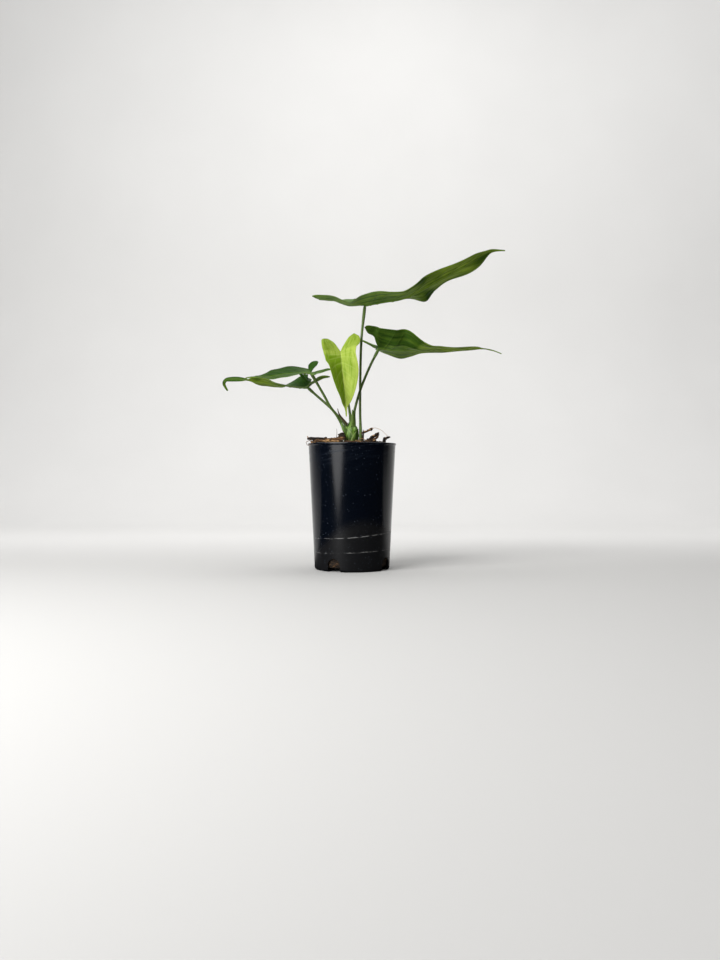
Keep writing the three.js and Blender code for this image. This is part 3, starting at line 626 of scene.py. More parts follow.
# %% One half of a blade
def half_blade(leaf, side):
    """The points of a half-blade's middle surface, the way up at each, and where each is on the leaf."""
    rib = Spine(leaf["rib"])
    lobe = Spine([leaf["rib"][0], *leaf["lobes"][side]])
    face = unit(np.array(leaf["face"], float))
    outer_edge = [*leaf["lobe"], *BODY_OUTER, *leaf["taper"]]
    inner_edge = [*leaf["sinus"], *BODY_INNER]
    v = np.array(ACROSS)[None, :]
    body = np.clip((STATIONS - LOBE_SHARE) / (1 - LOBE_SHARE), 0, 1)
    slant = VEIN_SLANT * np.sin(np.pi * body) ** 0.7
    share = STATIONS[:, None] + slant[:, None] * v
    inner = edge_line(inner_edge, share)
    outer = edge_line(outer_edge, share)
    at = inner[..., 0] + (outer[..., 0] - inner[..., 0]) * v
    y = (inner[..., 1] + (outer[..., 1] - inner[..., 1]) * v) * leaf["width"]
    behind = np.clip(-at, 0, 1)
    ahead = np.clip(at, 0, 1)
    point = np.where((at < 0)[..., None], lobe.place(behind), rib.place(ahead))
    forward = eased(at, -0.3, 0.12)[..., None]
    tangent = unit(-lobe.heading(behind) * (1 - forward) + rib.heading(ahead) * forward)
    level = unit(np.cross(tangent, face))
    normal = np.cross(level, tangent)
    angle = np.radians(through(RISE_AT, leaf["rise"][side])(at))[..., None]
    out = side * np.cos(angle) * level + np.sin(angle) * normal
    upward = np.cos(angle) * normal - side * np.sin(angle) * level
    bend = np.minimum(v / FOLD_ACROSS, (1 - v) / (1 - FOLD_ACROSS))
    crease = leaf.get("fold", {}).get(side, 0) * bend * eased(at, *FOLD_STARTS) * eased(at, *FOLD_ENDS)
    height, count, phase = leaf["ripple"][side]
    ripple = np.sin(2 * np.pi * (count * share + phase)) * np.sin(np.pi * np.clip(share, 0, 1)) ** 0.7
    point = point + out * y[..., None] + upward * (height * v**RIPPLE_RISE * ripple - crease)[..., None]
    hang = v * eased(-np.degrees(angle[..., 0]), *HANGS_AT) * eased(at, *HANGS_BEFORE)
    return {
        "point": point, "up": upward, "at": at, "v": np.broadcast_to(v, at.shape), "y": y, "body": body,
        "hang": hang,
    }

# %% [markdown]
# The veins are found by distance. For a side vein that is the distance along the leaf to the vein's own
# grid line, and for the veins that run lengthwise it is the distance across to their path. A bell curve
# turns each distance into a soft ridge, narrow for the vein itself and wide for the dip of the tissue
# beside it.

# %% The vein pattern of a half-blade
LOBE_VEINS = [0.3, 0.56, 0.8]
SIDE_VEIN_WIDTH = 0.5
LONG_VEIN_WIDTH = 0.45
DIP_WIDTH = 2.6
LONG_DIP_WIDTH = DIP_WIDTH * 0.7
MIDRIB_WIDTH = 1.1
NO_MIDRIB = 9
INSIDE_MARGIN = (COLLECTIVE_VEIN - 0.03, COLLECTIVE_VEIN + 0.03)


def bell(distance, width):
    return np.exp(-((distance / width) ** 2))


def veins(half, leaf):
    """(vein, dip, rib) from 0 to 1 at each point of a half-blade."""
    at, v, y = half["at"], half["v"], np.maximum(half["y"], 0.6)
    length = Spine(leaf["rib"]).length
    body = half["body"][:, None]
    vein = np.zeros(at.shape)
    dip = np.zeros(at.shape)
    inside = 1 - eased(v, *INSIDE_MARGIN)
    for place in SIDE_VEINS:
        row = np.argmin(abs(half["body"] - place))
        distance = abs(at - at[row]) * length * 0.75
        vein = np.maximum(vein, bell(distance, SIDE_VEIN_WIDTH * (1.15 - 0.6 * v)) * inside)
        dip = np.maximum(dip, bell(distance, DIP_WIDTH) * inside)
    reach = np.maximum(half["y"].max(axis=1, keepdims=True), 1.0)
    ahead = (at >= 0) * 1.0
    fan = eased(body, 0.0, 0.3)
    collective = COLLECTIVE_VEIN * np.sqrt(eased(body, -0.02, 0.16))
    inner = 0.52 * fan + 0.34 * eased(body, 0.2, 0.75)
    for path in (collective, inner):
        distance = abs(v - path) * reach
        vein = np.maximum(vein, 0.85 * bell(distance, LONG_VEIN_WIDTH) * ahead)
        dip = np.maximum(dip, 0.8 * bell(distance, LONG_DIP_WIDTH) * ahead)
    back = np.clip(STATIONS / LOBE_SHARE, 0, 1)[:, None]
    for place in LOBE_VEINS:
        path = place * (1 - back**3) ** 0.5
        distance = abs(v - path) * reach
        vein = np.maximum(vein, 0.9 * bell(distance, LONG_VEIN_WIDTH) * (1 - ahead))
        dip = np.maximum(dip, 0.8 * bell(distance, LONG_DIP_WIDTH) * (1 - ahead))
    rib = bell(y * ahead + NO_MIDRIB * (1 - ahead), MIDRIB_WIDTH) * (1 - 0.6 * np.clip(at, 0, 1))
    return vein, np.maximum(dip, rib), rib

# %% [markdown]
# ## From a surface to a leaf
# The two halves are welded along the midrib, then given thickness: the upper face moves up a little and the
# lower face down, and a narrow strip closes the rim. The Solidify modifier could do this, but its faces
# would be the same above and below, and here the upper face has grooves where the lower one has ridges.

# %% Weld and thicken
BLADE_THICKNESS = 0.55
MARGIN_THICKNESS = 0.3
QUILT = 0.42
VEIN_RIDGE = 0.3
RIB_RIDGE = 1.0
RIB_GROOVE = 0.35
QUILT_BELOW = 0.8
MARGIN_STARTS = 0.88
TIP_STARTS = 0.85
TIP_SLIMS_BY = 0.7


def grid_faces(rows, columns, first=0, flip=False):
    a = first + np.arange(rows - 1)[:, None] * columns + np.arange(columns - 1)[None, :]
    quads = np.stack([a, a + 1, a + columns + 1, a + columns], axis=-1).reshape(-1, 4)
    return quads[:, ::-1] if flip else quads


def welded(points, faces, near=1e-4):
    """The faces, with points that lie at the same place taken as one."""
    keys = np.round(points / near).astype(np.int64)
    _, first, which = np.unique(keys, axis=0, return_index=True, return_inverse=True)
    return first[which.ravel()][faces]


def surface_normals(points, faces):
    """A normal at each point, from the faces round it."""
    a, b, c, d = (points[faces[:, k]] for k in range(4))
    flat = np.cross(c - a, d - b)
    normals = np.zeros_like(points)
    for k in range(4):
        np.add.at(normals, faces[:, k], flat)
    return unit(normals)


def rim_edges(faces):
    """The edges that only one face has, in that face's order."""
    ends = np.concatenate([faces[:, [k, (k + 1) % 4]] for k in range(4)])
    ends = ends[ends[:, 0] != ends[:, 1]]
    have = set(map(tuple, ends.tolist()))
    return np.array([edge for edge in have if (edge[1], edge[0]) not in have])


def leaf_blade(name, leaf, material):
    halves = {side: half_blade(leaf, side) for side in (RIGHT, LEFT)}
    rows, columns = halves[RIGHT]["at"].shape
    points = np.concatenate([half["point"].reshape(-1, 3) for half in halves.values()])
    up = np.concatenate([half["up"].reshape(-1, 3) for half in halves.values()])
    quads = np.concatenate([
        grid_faces(rows, columns, 0, flip=False),
        grid_faces(rows, columns, rows * columns, flip=True),
    ])
    quads = welded(points, quads)
    normals = surface_normals(points, quads)
    if np.sum(normals * up) < 0:
        quads = quads[:, ::-1]
        normals = -normals
    marks = [np.stack(veins(half, leaf), axis=-1).reshape(-1, 3) for half in halves.values()]
    vein, dip, rib = np.concatenate(marks).T
    v = np.concatenate([half["v"].ravel() for half in halves.values()])
    at = np.concatenate([half["at"].ravel() for half in halves.values()])
    hang = np.concatenate([half["hang"].ravel() for half in halves.values()])
    side = np.repeat([RIGHT, LEFT], rows * columns)
    margin = eased(v, MARGIN_STARTS, 1.0)
    slim = 1 - TIP_SLIMS_BY * eased(at, TIP_STARTS, 1.0)
    thick = (BLADE_THICKNESS + (MARGIN_THICKNESS - BLADE_THICKNESS) * margin) / 2
    swell = QUILT * (1 - dip) * (1 - margin) * slim
    above = thick + swell - RIB_GROOVE * rib * slim
    below = -thick + swell * QUILT_BELOW - (VEIN_RIDGE * vein + RIB_RIDGE * rib) * slim
    body = np.concatenate([points + normals * above[:, None], points + normals * below[:, None]])
    count = len(points)
    rim = rim_edges(quads)
    strip = np.stack([rim[:, 1], rim[:, 0], rim[:, 0] + count, rim[:, 1] + count], axis=-1)
    every = np.concatenate([quads, quads[:, ::-1] + count, strip])
    tidy = [list(dict.fromkeys(face)) for face in every.tolist()]
    used = np.unique(np.concatenate(tidy))
    renumber = np.full(2 * count, -1)
    renumber[used] = np.arange(len(used))
    faces = [renumber[face] for face in tidy if len(face) > 2]
    place = np.stack([at, v, side], axis=-1)
    upper = np.concatenate([np.ones(count), np.zeros(count)])
    veined = np.stack([vein, dip, rib], axis=-1)
    marks = {
        "leaf_place": np.concatenate([place, place])[used],
        "leaf_veins": np.concatenate([veined, veined])[used],
        "leaf_upper": upper[used],
        "leaf_level": np.abs(np.concatenate([normals, normals])[used, 2]),
        "leaf_hang_shade": np.concatenate([hang, hang])[used],
    }
    return as_piece(f"leaf_{name}", body[used], faces, material, [f"blade_{name}"], marks)

# %% [markdown]
# ## The leaf's finish
# A grown leaf is dark green and a little glossy above, and olive below, with paler veins. Real leaves let
# some light through, so a small share of a Translucent shader is mixed in. Parts that lie level are painted
# paler and greyer, a painted sheen of the sky they catch, and parts near the stalk get a cooler painted
# sheen. The dips beside the veins and the underside of a margin that hangs get painted shade, and one half
# of the young leaf and its lobes are painted darker as painted shade. Bands and fine streaks of painted
# sheen and painted shade run the length of a blade, because a plain green looks like painted sheet. The
# small net of veins is a Voronoi pattern, and the shader bumps only what is too fine for the mesh.

# %% A leaf material
LEAF_ROUGHNESS = 0.42
LEAF_BUMP = 0.00012


def leaf_finish(
    name, upper, under, sheen_upper, sheen_under, cool_sheen, vein, shaded, glow,
    through_share, vein_share, half_shade_share,
):
    finish = Finish(name, ior=1.42, specular_ior_level=0.1)
    place = finish.place()
    spot = finish.mark("leaf_place", vector=True)
    at, v, side = spot.parts()
    line, dip, rib = finish.mark("leaf_veins", vector=True).parts()
    above = finish.mark("leaf_upper")
    steep = finish.mark("leaf_level")
    # Where the blade lies level it gets a painted sheen, paler and greyer, as if it mirrored the pale room.
    level = above * steep.ramp(0.78, 1.0) * 0.65 + (1 - above) * steep.ramp(0.7, 0.9)
    hang = finish.mark("leaf_hang_shade") * (1 - above)
    cloud = finish.noise(place, 55.0, detail=4.0)
    bands = finish.noise(finish.stretched(spot, (2.0, 8.0, 3.0)), 1.0, detail=2.0)
    streaks = finish.noise(finish.stretched(spot, (2.5, 26.0, 3.0)), 1.0, detail=3.0)
    fine = finish.noise(place, 900.0, detail=3.0, roughness=0.6)
    net = finish.cells(place, 620.0, feature="DISTANCE_TO_EDGE").ramp(0.10, 0.0)
    pale = finish.blend(above, sheen_under, sheen_upper)
    tone = finish.blend(above, under, upper)
    # Painted sheen: level parts are blended towards the pale sheen colours.
    tone = finish.blend(level * 0.75, tone, pale)
    # Painted sheen: near the stalk the colour turns cool and bluish, more so where the blade lies level.
    tone = finish.blend(at.ramp(0.55, 0.05) * (0.1 + level * 0.5), tone, cool_sheen)
    # Bands and streaks along the blade: painted sheen on the pale ones, painted shade on the dark ones.
    tone = finish.blend(bands.ramp(0.5, 0.6) * (0.1 + level * 0.5), tone, pale)
    tone = finish.blend(bands.ramp(0.46, 0.36) * 0.65, tone, shaded)
    tone = finish.blend(streaks.ramp(0.52, 0.62) * (0.1 + level * 0.3), tone, pale)
    tone = finish.blend(streaks.ramp(0.47, 0.37) * 0.45, tone, shaded)
    # Painted sheen: level upper faces near the stalk are painted pale, in the vein colour.
    tone = finish.blend(above * level * at.ramp(0.2, 0.04) * 0.6, tone, vein)
    tone = finish.blend(cloud.ramp(0.42, 0.68) * 0.35, tone, shaded)
    # Painted shade: one half of the young leaf, turned from the light, and its lobes are darkened.
    half_and_lobe_shade = (side.ramp(0, 1) * at.ramp(0.02, 0.12)).larger(at.ramp(0.1, -0.3) * 0.3)
    tone = finish.blend(half_and_lobe_shade * half_shade_share, tone, shaded)
    tone = finish.blend(net * (1 - line) * 0.10, tone, vein)
    # Painted shade in the dips beside the veins and under a margin that hangs.
    tone = finish.blend((dip * 0.28).larger(hang * 0.8), tone, shaded)
    # The veins' own paler colour, painted paler still where the blade lies level as painted sheen.
    tone = finish.blend((line * (vein_share + level * 0.2) + rib * 0.6).smaller(1.0), tone, vein)
    tone = finish.blend(v.ramp(0.975, 1.0) * 0.5, tone, vein)
    relief = fine * 0.35 + net * (1 - line) * 0.4 + line * 0.5
    rough = LEAF_ROUGHNESS + (fine - 0.5) * 0.16 + (1 - above) * 0.08
    finish.paint(base_color=tone, roughness=rough, normal=finish.bump(relief, LEAF_BUMP, 0.6))
    see_through = finish.node("ShaderNodeBsdfTranslucent", {}, {"Color": glow})
    mixed = finish.node("ShaderNodeMixShader", {}, {0: through_share, 1: finish.shader, 2: see_through})
    finish.tree.links.new(mixed.socket, finish.output.inputs["Surface"])
    return finish.material


LEAF_FINISHES = {
    "mature": leaf_finish(
        "mature_leaf",
        upper=srgb(30, 70, 2), under=srgb(50, 77, 0),
        sheen_upper=srgb(84, 112, 40), sheen_under=srgb(152, 178, 54),
        cool_sheen=srgb(94, 142, 86), vein=srgb(120, 146, 60),
        shaded=srgb(22, 50, 0), glow=srgb(80, 132, 0),
        through_share=0.24, vein_share=0.1, half_shade_share=0.0,
    ),
    "young": leaf_finish(
        "young_leaf",
        upper=srgb(188, 204, 92), under=srgb(164, 188, 66),
        sheen_upper=srgb(200, 214, 120), sheen_under=srgb(170, 192, 80),
        cool_sheen=srgb(170, 196, 84), vein=srgb(198, 214, 112),
        shaded=srgb(108, 144, 0), glow=srgb(160, 190, 20),
        through_share=0.3, vein_share=0.34, half_shade_share=0.85,
    ),
}
for name, leaf in LEAVES.items():
    kind = "young" if name == "young" else "mature"
    leaf_blade(name, leaf, LEAF_FINISHES[kind])

# %% [markdown]
# ## The stalks
# Each leaf hangs on a stalk about 2 mm thick, which widens to a clasping foot at the stem and has a small
# swollen knee under the blade. A curve with a bevel would give a plain round tube. A tube built ring by
# ring can also have the shallow groove that runs up a real stalk.

# %% Tubes along a curve
def rings_along(spine, radius, sides, shares, groove=0.0, groove_width=0.5):
    """Rings of points along a curve. A groove runs along them, sunk by a share of the radius."""
    places = spine.place(shares)
    headings = spine.heading(shares)
    across = unit(np.cross(headings[0], (0.3, 1.0, 0.2)))
    turns = np.linspace(0, 2 * np.pi, sides, endpoint=False)
    wrapped = np.minimum(turns, 2 * np.pi - turns)
    profile = 1 - groove * bell(wrapped, groove_width)
    rings = []
    for place, heading, share in zip(places, headings, shares):
        across = unit(across - heading * (across @ heading))
        other = np.cross(heading, across)
        circle = np.cos(turns)[:, None] * across + np.sin(turns)[:, None] * other
        rings.append(place + circle * (radius(share) * profile)[:, None])
    return np.array(rings)


def tube_mesh(rings):
    """Points and faces of a closed tube: the rings, and a cap of faces round a middle point at each end."""
    count, sides, _ = rings.shape
    points = np.vstack([rings.reshape(-1, 3), rings[0].mean(axis=0), rings[-1].mean(axis=0)])
    faces = []
    for i in range(count - 1):
        for j in range(sides):
            k = (j + 1) % sides
            faces.append((i * sides + j, i * sides + k, (i + 1) * sides + k, (i + 1) * sides + j))
    first, last = count * sides, count * sides + 1
    for j in range(sides):
        k = (j + 1) % sides
        faces.append((first, k, j))
        faces.append((last, (count - 1) * sides + j, (count - 1) * sides + k))
    return points, faces


STALK_RADIUS = 1.27
KNEE_RADIUS = 1.6
SHEATH_RADIUS = 2.1
STALK_TO_BLADE = 0.3
STALK_SIDES = 20
STALK_RINGS = 90
STALK_GROOVE = 0.16
SHEATH_REACH = 0.28
KNEE_SWELLS = (0.86, 0.94)


def stalk_radius(share):
    sheath = (SHEATH_RADIUS - STALK_RADIUS) * eased(SHEATH_REACH - share, 0, SHEATH_REACH)
    knee = (KNEE_RADIUS - STALK_RADIUS) * eased(share, *KNEE_SWELLS)
    ends = 1 - 0.35 * eased(share, 0.985, 1.0)
    return (STALK_RADIUS + sheath + knee) * ends

# %% The stalks' finish
green_stalk = Finish("petiole", ior=1.42)
place = green_stalk.place()
upright = green_stalk.stretched(place, (1.0, 1.0, 0.12))
streaks = green_stalk.noise(upright, 1500.0, detail=3.0)
patches = green_stalk.noise(place, 120.0, detail=3.0)
height = place.parts()[2]
foot = height.ramp(0.150, 0.124)
tone = green_stalk.blend(streaks.ramp(0.3, 0.75), srgb(46, 68, 18), srgb(102, 126, 56))
tone = green_stalk.blend(patches.ramp(0.5, 0.8) * 0.4, tone, srgb(52, 66, 24))
tone = green_stalk.blend(foot * patches.ramp(0.35, 0.6) * 0.55, tone, srgb(92, 128, 46))
tone = green_stalk.blend(height.ramp(0.132, 0.122) * 0.6, tone, srgb(72, 58, 32))
tone = green_stalk.blend(green_stalk.mark("knee") * 0.4, tone, srgb(96, 124, 56))
green_stalk.paint(
    base_color=tone,
    roughness=0.36 + streaks * 0.16,
    normal=green_stalk.bump(streaks, 0.0001, 0.5),
)

for name, leaf in LEAVES.items():
    joint = np.array(leaf["rib"][0], float)
    towards = unit(np.array(leaf["stalk"][-1], float) - joint) * STALK_TO_BLADE
    spine = Spine([*leaf["stalk"], joint + towards])
    shares = np.linspace(0, 1, STALK_RINGS)
    rings = rings_along(spine, stalk_radius, STALK_SIDES, shares, groove=STALK_GROOVE)
    points, faces = tube_mesh(rings)
    knee = {"knee": np.append(np.repeat(eased(shares, *KNEE_SWELLS), STALK_SIDES), [0, 1])}
    as_piece(f"stalk_{name}", points, faces, green_stalk.material, [f"petiole_{name}"], knee)

# %% [markdown]
# ## The stem and what clasps it
# The stem is short and hidden by the feet of old and new leaves. It could be one lump, but the photograph
# shows overlapping layers with pale edges. So a turned core carries five clasps: thin curved sheets that
# wrap part of the stem at their foot and narrow to a rounded tip.

# %% The stem's core
STEM_AT = np.array([-1.0, 0.0, 0.0])
STEM_PROFILE = [
    (3.4, 106), (4.8, 110), (5.4, 118), (6.3, 124), (6.5, 128), (5.9, 132), (4.6, 136), (3.2, 140),
    (1.5, 142.5),
]
STEM_SIDES = 48
STEM_RINGS = 64
CORE_INSET = 0.35


def stem_radius(z):
    radii, heights = np.array(STEM_PROFILE).T
    return through(heights, radii)(z)


def lumpy(point, scale, depth):
    """A smooth random height at a point in mm."""
    return depth * noise.noise(Vector([float(x) / scale for x in point]))


def stem_core():
    rings = []
    for z in np.linspace(STEM_PROFILE[0][1], STEM_PROFILE[-1][1], STEM_RINGS):
        ring = []
        for turn in np.linspace(0, 2 * np.pi, STEM_SIDES, endpoint=False):
            way = np.array([math.cos(turn), math.sin(turn), 0])
            radius = stem_radius(z) - CORE_INSET
            spot = STEM_AT + way * radius + (0, 0, z)
            ring.append(spot + way * (lumpy(spot, 2.6, 0.7) + lumpy(spot * (1, 1, 3), 1.3, 0.25)))
        rings.append(ring)
    return tube_mesh(np.array(rings))


crown = Finish("stem", ior=1.42)
place = crown.place()
upright = crown.stretched(place, (1.0, 1.0, 0.3))
mottle = crown.noise(upright, 330.0, detail=5.0, roughness=0.6)
fibre = crown.noise(crown.stretched(place, (1.0, 1.0, 0.08)), 1600.0, detail=2.0)
height = place.parts()[2]
edge = crown.mark("edge")
tone = crown.blend(mottle.ramp(0.36, 0.62), srgb(38, 66, 16), srgb(104, 140, 48))
tone = crown.blend(mottle.ramp(0.56, 0.7) * 0.5, tone, srgb(148, 172, 92))
tone = crown.blend(height.ramp(0.1285, 0.1205) * 0.8, tone, srgb(58, 46, 24))
tone = crown.blend(edge * 0.75, tone, srgb(150, 172, 98))
crown.paint(
    base_color=tone,
    roughness=0.34 + fibre * 0.25,
    normal=crown.bump(fibre * 0.6 + mottle * 0.4, 0.00025, 0.7),
)
points, faces = stem_core()
as_piece("stem_core", points, faces, crown.material, ["stem"], {"edge": np.zeros(len(points))})

# %% Thin sheets with an edge
EDGE_SLIMS = 0.6


def sheet_mesh(surface, thickness, up):
    """A closed thin body on a grid of points, and how near each point is to the sheet's long edges."""
    rows, columns, _ = surface.shape
    flat = surface.reshape(-1, 3)
    quads = grid_faces(rows, columns)
    normals = surface_normals(flat, quads)
    if np.sum(normals @ np.array(up, float)) < 0:
        quads = quads[:, ::-1]
        normals = -normals
    across = np.abs(np.linspace(-1, 1, columns))
    slim = (thickness * (1 - EDGE_SLIMS * across**4) / 2)[None, :].repeat(rows, axis=0).ravel()[:, None]
    count = len(flat)
    points = np.concatenate([flat + normals * slim, flat - normals * slim])
    rim = rim_edges(quads)
    strip = np.stack([rim[:, 1], rim[:, 0], rim[:, 0] + count, rim[:, 1] + count], axis=-1)
    faces = np.concatenate([quads, quads[:, ::-1] + count, strip])
    edge = np.tile(eased(np.tile(across, rows), 0.8, 1.0), 2)
    return points, faces, edge


CLASPS = [
    # name, way it faces, foot height, top height, spread at the foot, lean outwards at the top
    ("clasp_right", -8, 119, 135, 82, 1.5),
    ("clasp_front", -72, 118, 137, 88, 0.5),
    ("clasp_left", -148, 120, 137, 84, 1.3),
    ("clasp_back", 95, 119, 137, 84, 0.6),
    ("clasp_low_left", 172, 117, 131, 70, 0.8),
]
CLASP_ROWS = 30
CLASP_COLUMNS = 25
CLASP_GAP = 0.35
CLASP_TIP = 4
CLASP_CURL = 0.25
CLASP_DROP = 1.6
CLASP_THICKNESS = 0.55
STEM_NARROWS_TO = 140


def clasp(way, low, high, spread, lean):
    surface = np.zeros((CLASP_ROWS, CLASP_COLUMNS, 3))
    for i, t in enumerate(np.linspace(0, 1, CLASP_ROWS)):
        z = low + (high - low) * t
        radius = stem_radius(min(z, STEM_NARROWS_TO)) + CLASP_GAP + lean * t**2
        wide = math.radians(spread) * (1 - t**2.6) ** 0.8 + math.radians(CLASP_TIP)
        for j, a in enumerate(np.linspace(-1, 1, CLASP_COLUMNS)):
            turn = math.radians(way) + a * wide
            curl = CLASP_CURL * a**4
            wave = lumpy((turn * 6, z, 3.0), 2.4, 0.35)
            r = radius + curl + wave
            drop = CLASP_DROP * a * a * (1 - t)
            surface[i, j] = STEM_AT + (r * math.cos(turn), r * math.sin(turn), z - drop)
    return surface


for name, way, low, high, spread, lean in CLASPS:
    outward = (math.cos(math.radians(way)), math.sin(math.radians(way)), 0)
    points, faces, edge = sheet_mesh(clasp(way, low, high, spread, lean), CLASP_THICKNESS, outward)
    as_piece(name, points, faces, crown.material, marks={"edge": edge})

# %% A side bud
BUD_AT = np.array([3.2, -4.2, 134.6])
BUD_SIZE = np.array([2.3, 2.2, 3.6])
BUD_RINGS = 26
BUD_SIDES = 24
BUD_CREASE = 0.12


def bud():
    rings = []
    for t in np.linspace(0.02, 0.98, BUD_RINGS):
        radius = math.sin(math.pi * t) ** 0.8
        ring = []
        for turn in np.linspace(0, 2 * np.pi, BUD_SIDES, endpoint=False):
            crease = 1 - BUD_CREASE * bell(math.sin(turn - 4.0 - t), 0.25)
            way = np.array([math.cos(turn) * radius * crease, math.sin(turn) * radius * crease, 2 * t - 1])
            ring.append(BUD_AT + way * BUD_SIZE)
        rings.append(ring)
    return tube_mesh(np.array(rings))


points, faces = bud()
as_piece("side_bud", points, faces, crown.material, marks={"edge": np.zeros(len(points))})

# %% [markdown]
# ## The papery sheaths
# A new leaf comes out of a cataphyll, a small sheath that stays at the foot of the stalk. One here is still
# green and stands up as a spike, one is pale and fresh, and one has dried to a thin brown curl. They are
# the same kind of sheet, curled round their own length.

# %% Build the sheaths
SHEATHS = {
    "green": {
        "path": [(1.2, -5.6, 137), (1.4, -7, 143), (1, -7.4, 149), (0.4, -6.6, 153)],
        "width": 1.9,
        "face": (0.4, -1, 0),
    },
    "dry": {
        "path": [(-4.4, -4.6, 139), (-8.4, -5.6, 143.6), (-12.4, -5, 149), (-13.9, -4, 154.3)],
        "width": 0.8,
        "face": (-0.6, -1, 0.5),
    },
    "pale": {
        "path": [(-4.8, -5, 128.5), (-7.4, -6.6, 133), (-9.4, -6.8, 137.4), (-10.6, -6, 141.5)],
        "width": 1.7,
        "face": (-0.3, -1, 0.2),
    },
}
SHEATH_ROWS = 44
SHEATH_COLUMNS = 17
SHEATH_TIP = 0.22
SHEATH_CURL = 0.55
SHEATH_RUFFLE = 0.1
SHEATH_THICKNESS = 0.5


def sheath_surface(sheath):
    spine = Spine(sheath["path"])
    face = unit(np.array(sheath["face"], float))
    shares = np.linspace(0, 1, SHEATH_ROWS)
    places = spine.place(shares)
    sides = unit(np.cross(spine.heading(shares), face))
    half = sheath["width"] * (1 - shares**2.2) + SHEATH_TIP
    surface = np.zeros((SHEATH_ROWS, SHEATH_COLUMNS, 3))
    for j, column in enumerate(np.linspace(-1, 1, SHEATH_COLUMNS)):
        ruffle = SHEATH_RUFFLE * np.sin(shares * 17 + column * 3) * abs(column)
        curl = SHEATH_CURL * half * column**2 + ruffle
        surface[:, j] = places + sides * (column * half)[:, None] - face * curl[:, None]
    return surface


def sheath_finish(name, dark, light, edge_colour, rough):
    finish = Finish(name, ior=1.42)
    place = finish.place()
    ribs = finish.noise(finish.stretched(place, (1.0, 1.0, 0.1)), 2200.0, detail=2.0)
    patches = finish.noise(place, 260.0, detail=4.0)
    tone = finish.blend(ribs.ramp(0.3, 0.7), dark, light)
    tone = finish.blend(patches.ramp(0.45, 0.7) * 0.4, tone, dark)
    tone = finish.blend(finish.mark("edge") * 0.7, tone, edge_colour)
    finish.paint(base_color=tone, roughness=rough + ribs * 0.2, normal=finish.bump(ribs, 0.00015, 0.6))
    return finish.material


SHEATH_FINISHES = {
    "green": sheath_finish("sheath_green", srgb(66, 92, 30), srgb(98, 124, 46), srgb(140, 156, 88), 0.4),
    "dry": sheath_finish("sheath_dry", srgb(44, 32, 18), srgb(78, 60, 36), srgb(96, 78, 50), 0.65),
    "pale": sheath_finish("sheath_pale", srgb(70, 100, 34), srgb(106, 138, 60), srgb(196, 208, 150), 0.45),
}
for name, sheath in SHEATHS.items():
    points, faces, edge = sheet_mesh(sheath_surface(sheath), SHEATH_THICKNESS, sheath["face"])
    finish = SHEATH_FINISHES[name]
    piece = f"sheath_{name}"
    as_piece(piece, points, faces, finish, [f"cataphyll_{name}"], {"edge": edge})

# %% [markdown]
# ## The bark mix
# Aroids are potted in coarse bark, which shows at the top and in the drainage mouths. A displaced surface
# alone looks like earth. So a dark bed fills the pot, and separate pieces of bark lie on it and stand out
# of it. A chip is a ring of points with random corners, stacked in a few layers and turned any way up. Each
# carries a tone from dark to tan, and the lighter it is, the more of its grain shows tan.

# %% The bed
POT_HEIGHT = 121
RIM_RADIUS = 42.5
FOOT_RADIUS = 36
POT_WALL = 1.2
LIP_PROUD = 0.5
LIP_HEIGHT = 2.2
FLOOR_TOP = 3.3
MIX_LEVEL_AT_WALL = 116.5
MIX_LEVEL_AT_STEM = 120
BED_SIDES = 120
BED_TOP_RINGS = 44
BED_GAP = 0.3
BED_FOOT_INSET = 2.0
BED_LOW_ROWS = [4, 6, 9, 12, 16, 22]
BED_SUNK_BELOW = 20
BED_UNDER_LEVEL = 0.6
BED_TONE = 0.12


def pot_radius(z):
    return FOOT_RADIUS + (RIM_RADIUS - LIP_PROUD - FOOT_RADIUS) * z / POT_HEIGHT


def mix_level(x, y):
    share = min(math.hypot(x, y) / (pot_radius(MIX_LEVEL_AT_WALL) - POT_WALL), 1)
    return MIX_LEVEL_AT_STEM + (MIX_LEVEL_AT_WALL - MIX_LEVEL_AT_STEM) * share**2


def bed():
    rings = []
    turns = np.linspace(0, 2 * np.pi, BED_SIDES, endpoint=False)
    for z in [FLOOR_TOP, *BED_LOW_ROWS, *np.linspace(30, MIX_LEVEL_AT_WALL, 12)]:
        radius = pot_radius(z) - POT_WALL - BED_GAP - (BED_FOOT_INSET if z == FLOOR_TOP else 0)
        ring = []
        for turn in turns:
            spot = np.array([radius * math.cos(turn), radius * math.sin(turn), z])
            sink = abs(lumpy(spot, 3.0, 1.6)) if z < BED_SUNK_BELOW else 0
            ring.append(spot * (1 - sink / radius, 1 - sink / radius, 1))
        rings.append(ring)
    for i in range(1, BED_TOP_RINGS):
        radius = (1 - i / BED_TOP_RINGS) * (pot_radius(MIX_LEVEL_AT_WALL) - POT_WALL - BED_GAP)
        ring = []
        for turn in turns:
            x, y = radius * math.cos(turn), radius * math.sin(turn)
            rough = lumpy((x, y, 0), 5.0, 1.6) + lumpy((x, y, 7), 1.8, 0.9)
            ring.append((x, y, mix_level(x, y) + rough - BED_UNDER_LEVEL))
        rings.append(ring)
    return tube_mesh(np.array(rings))


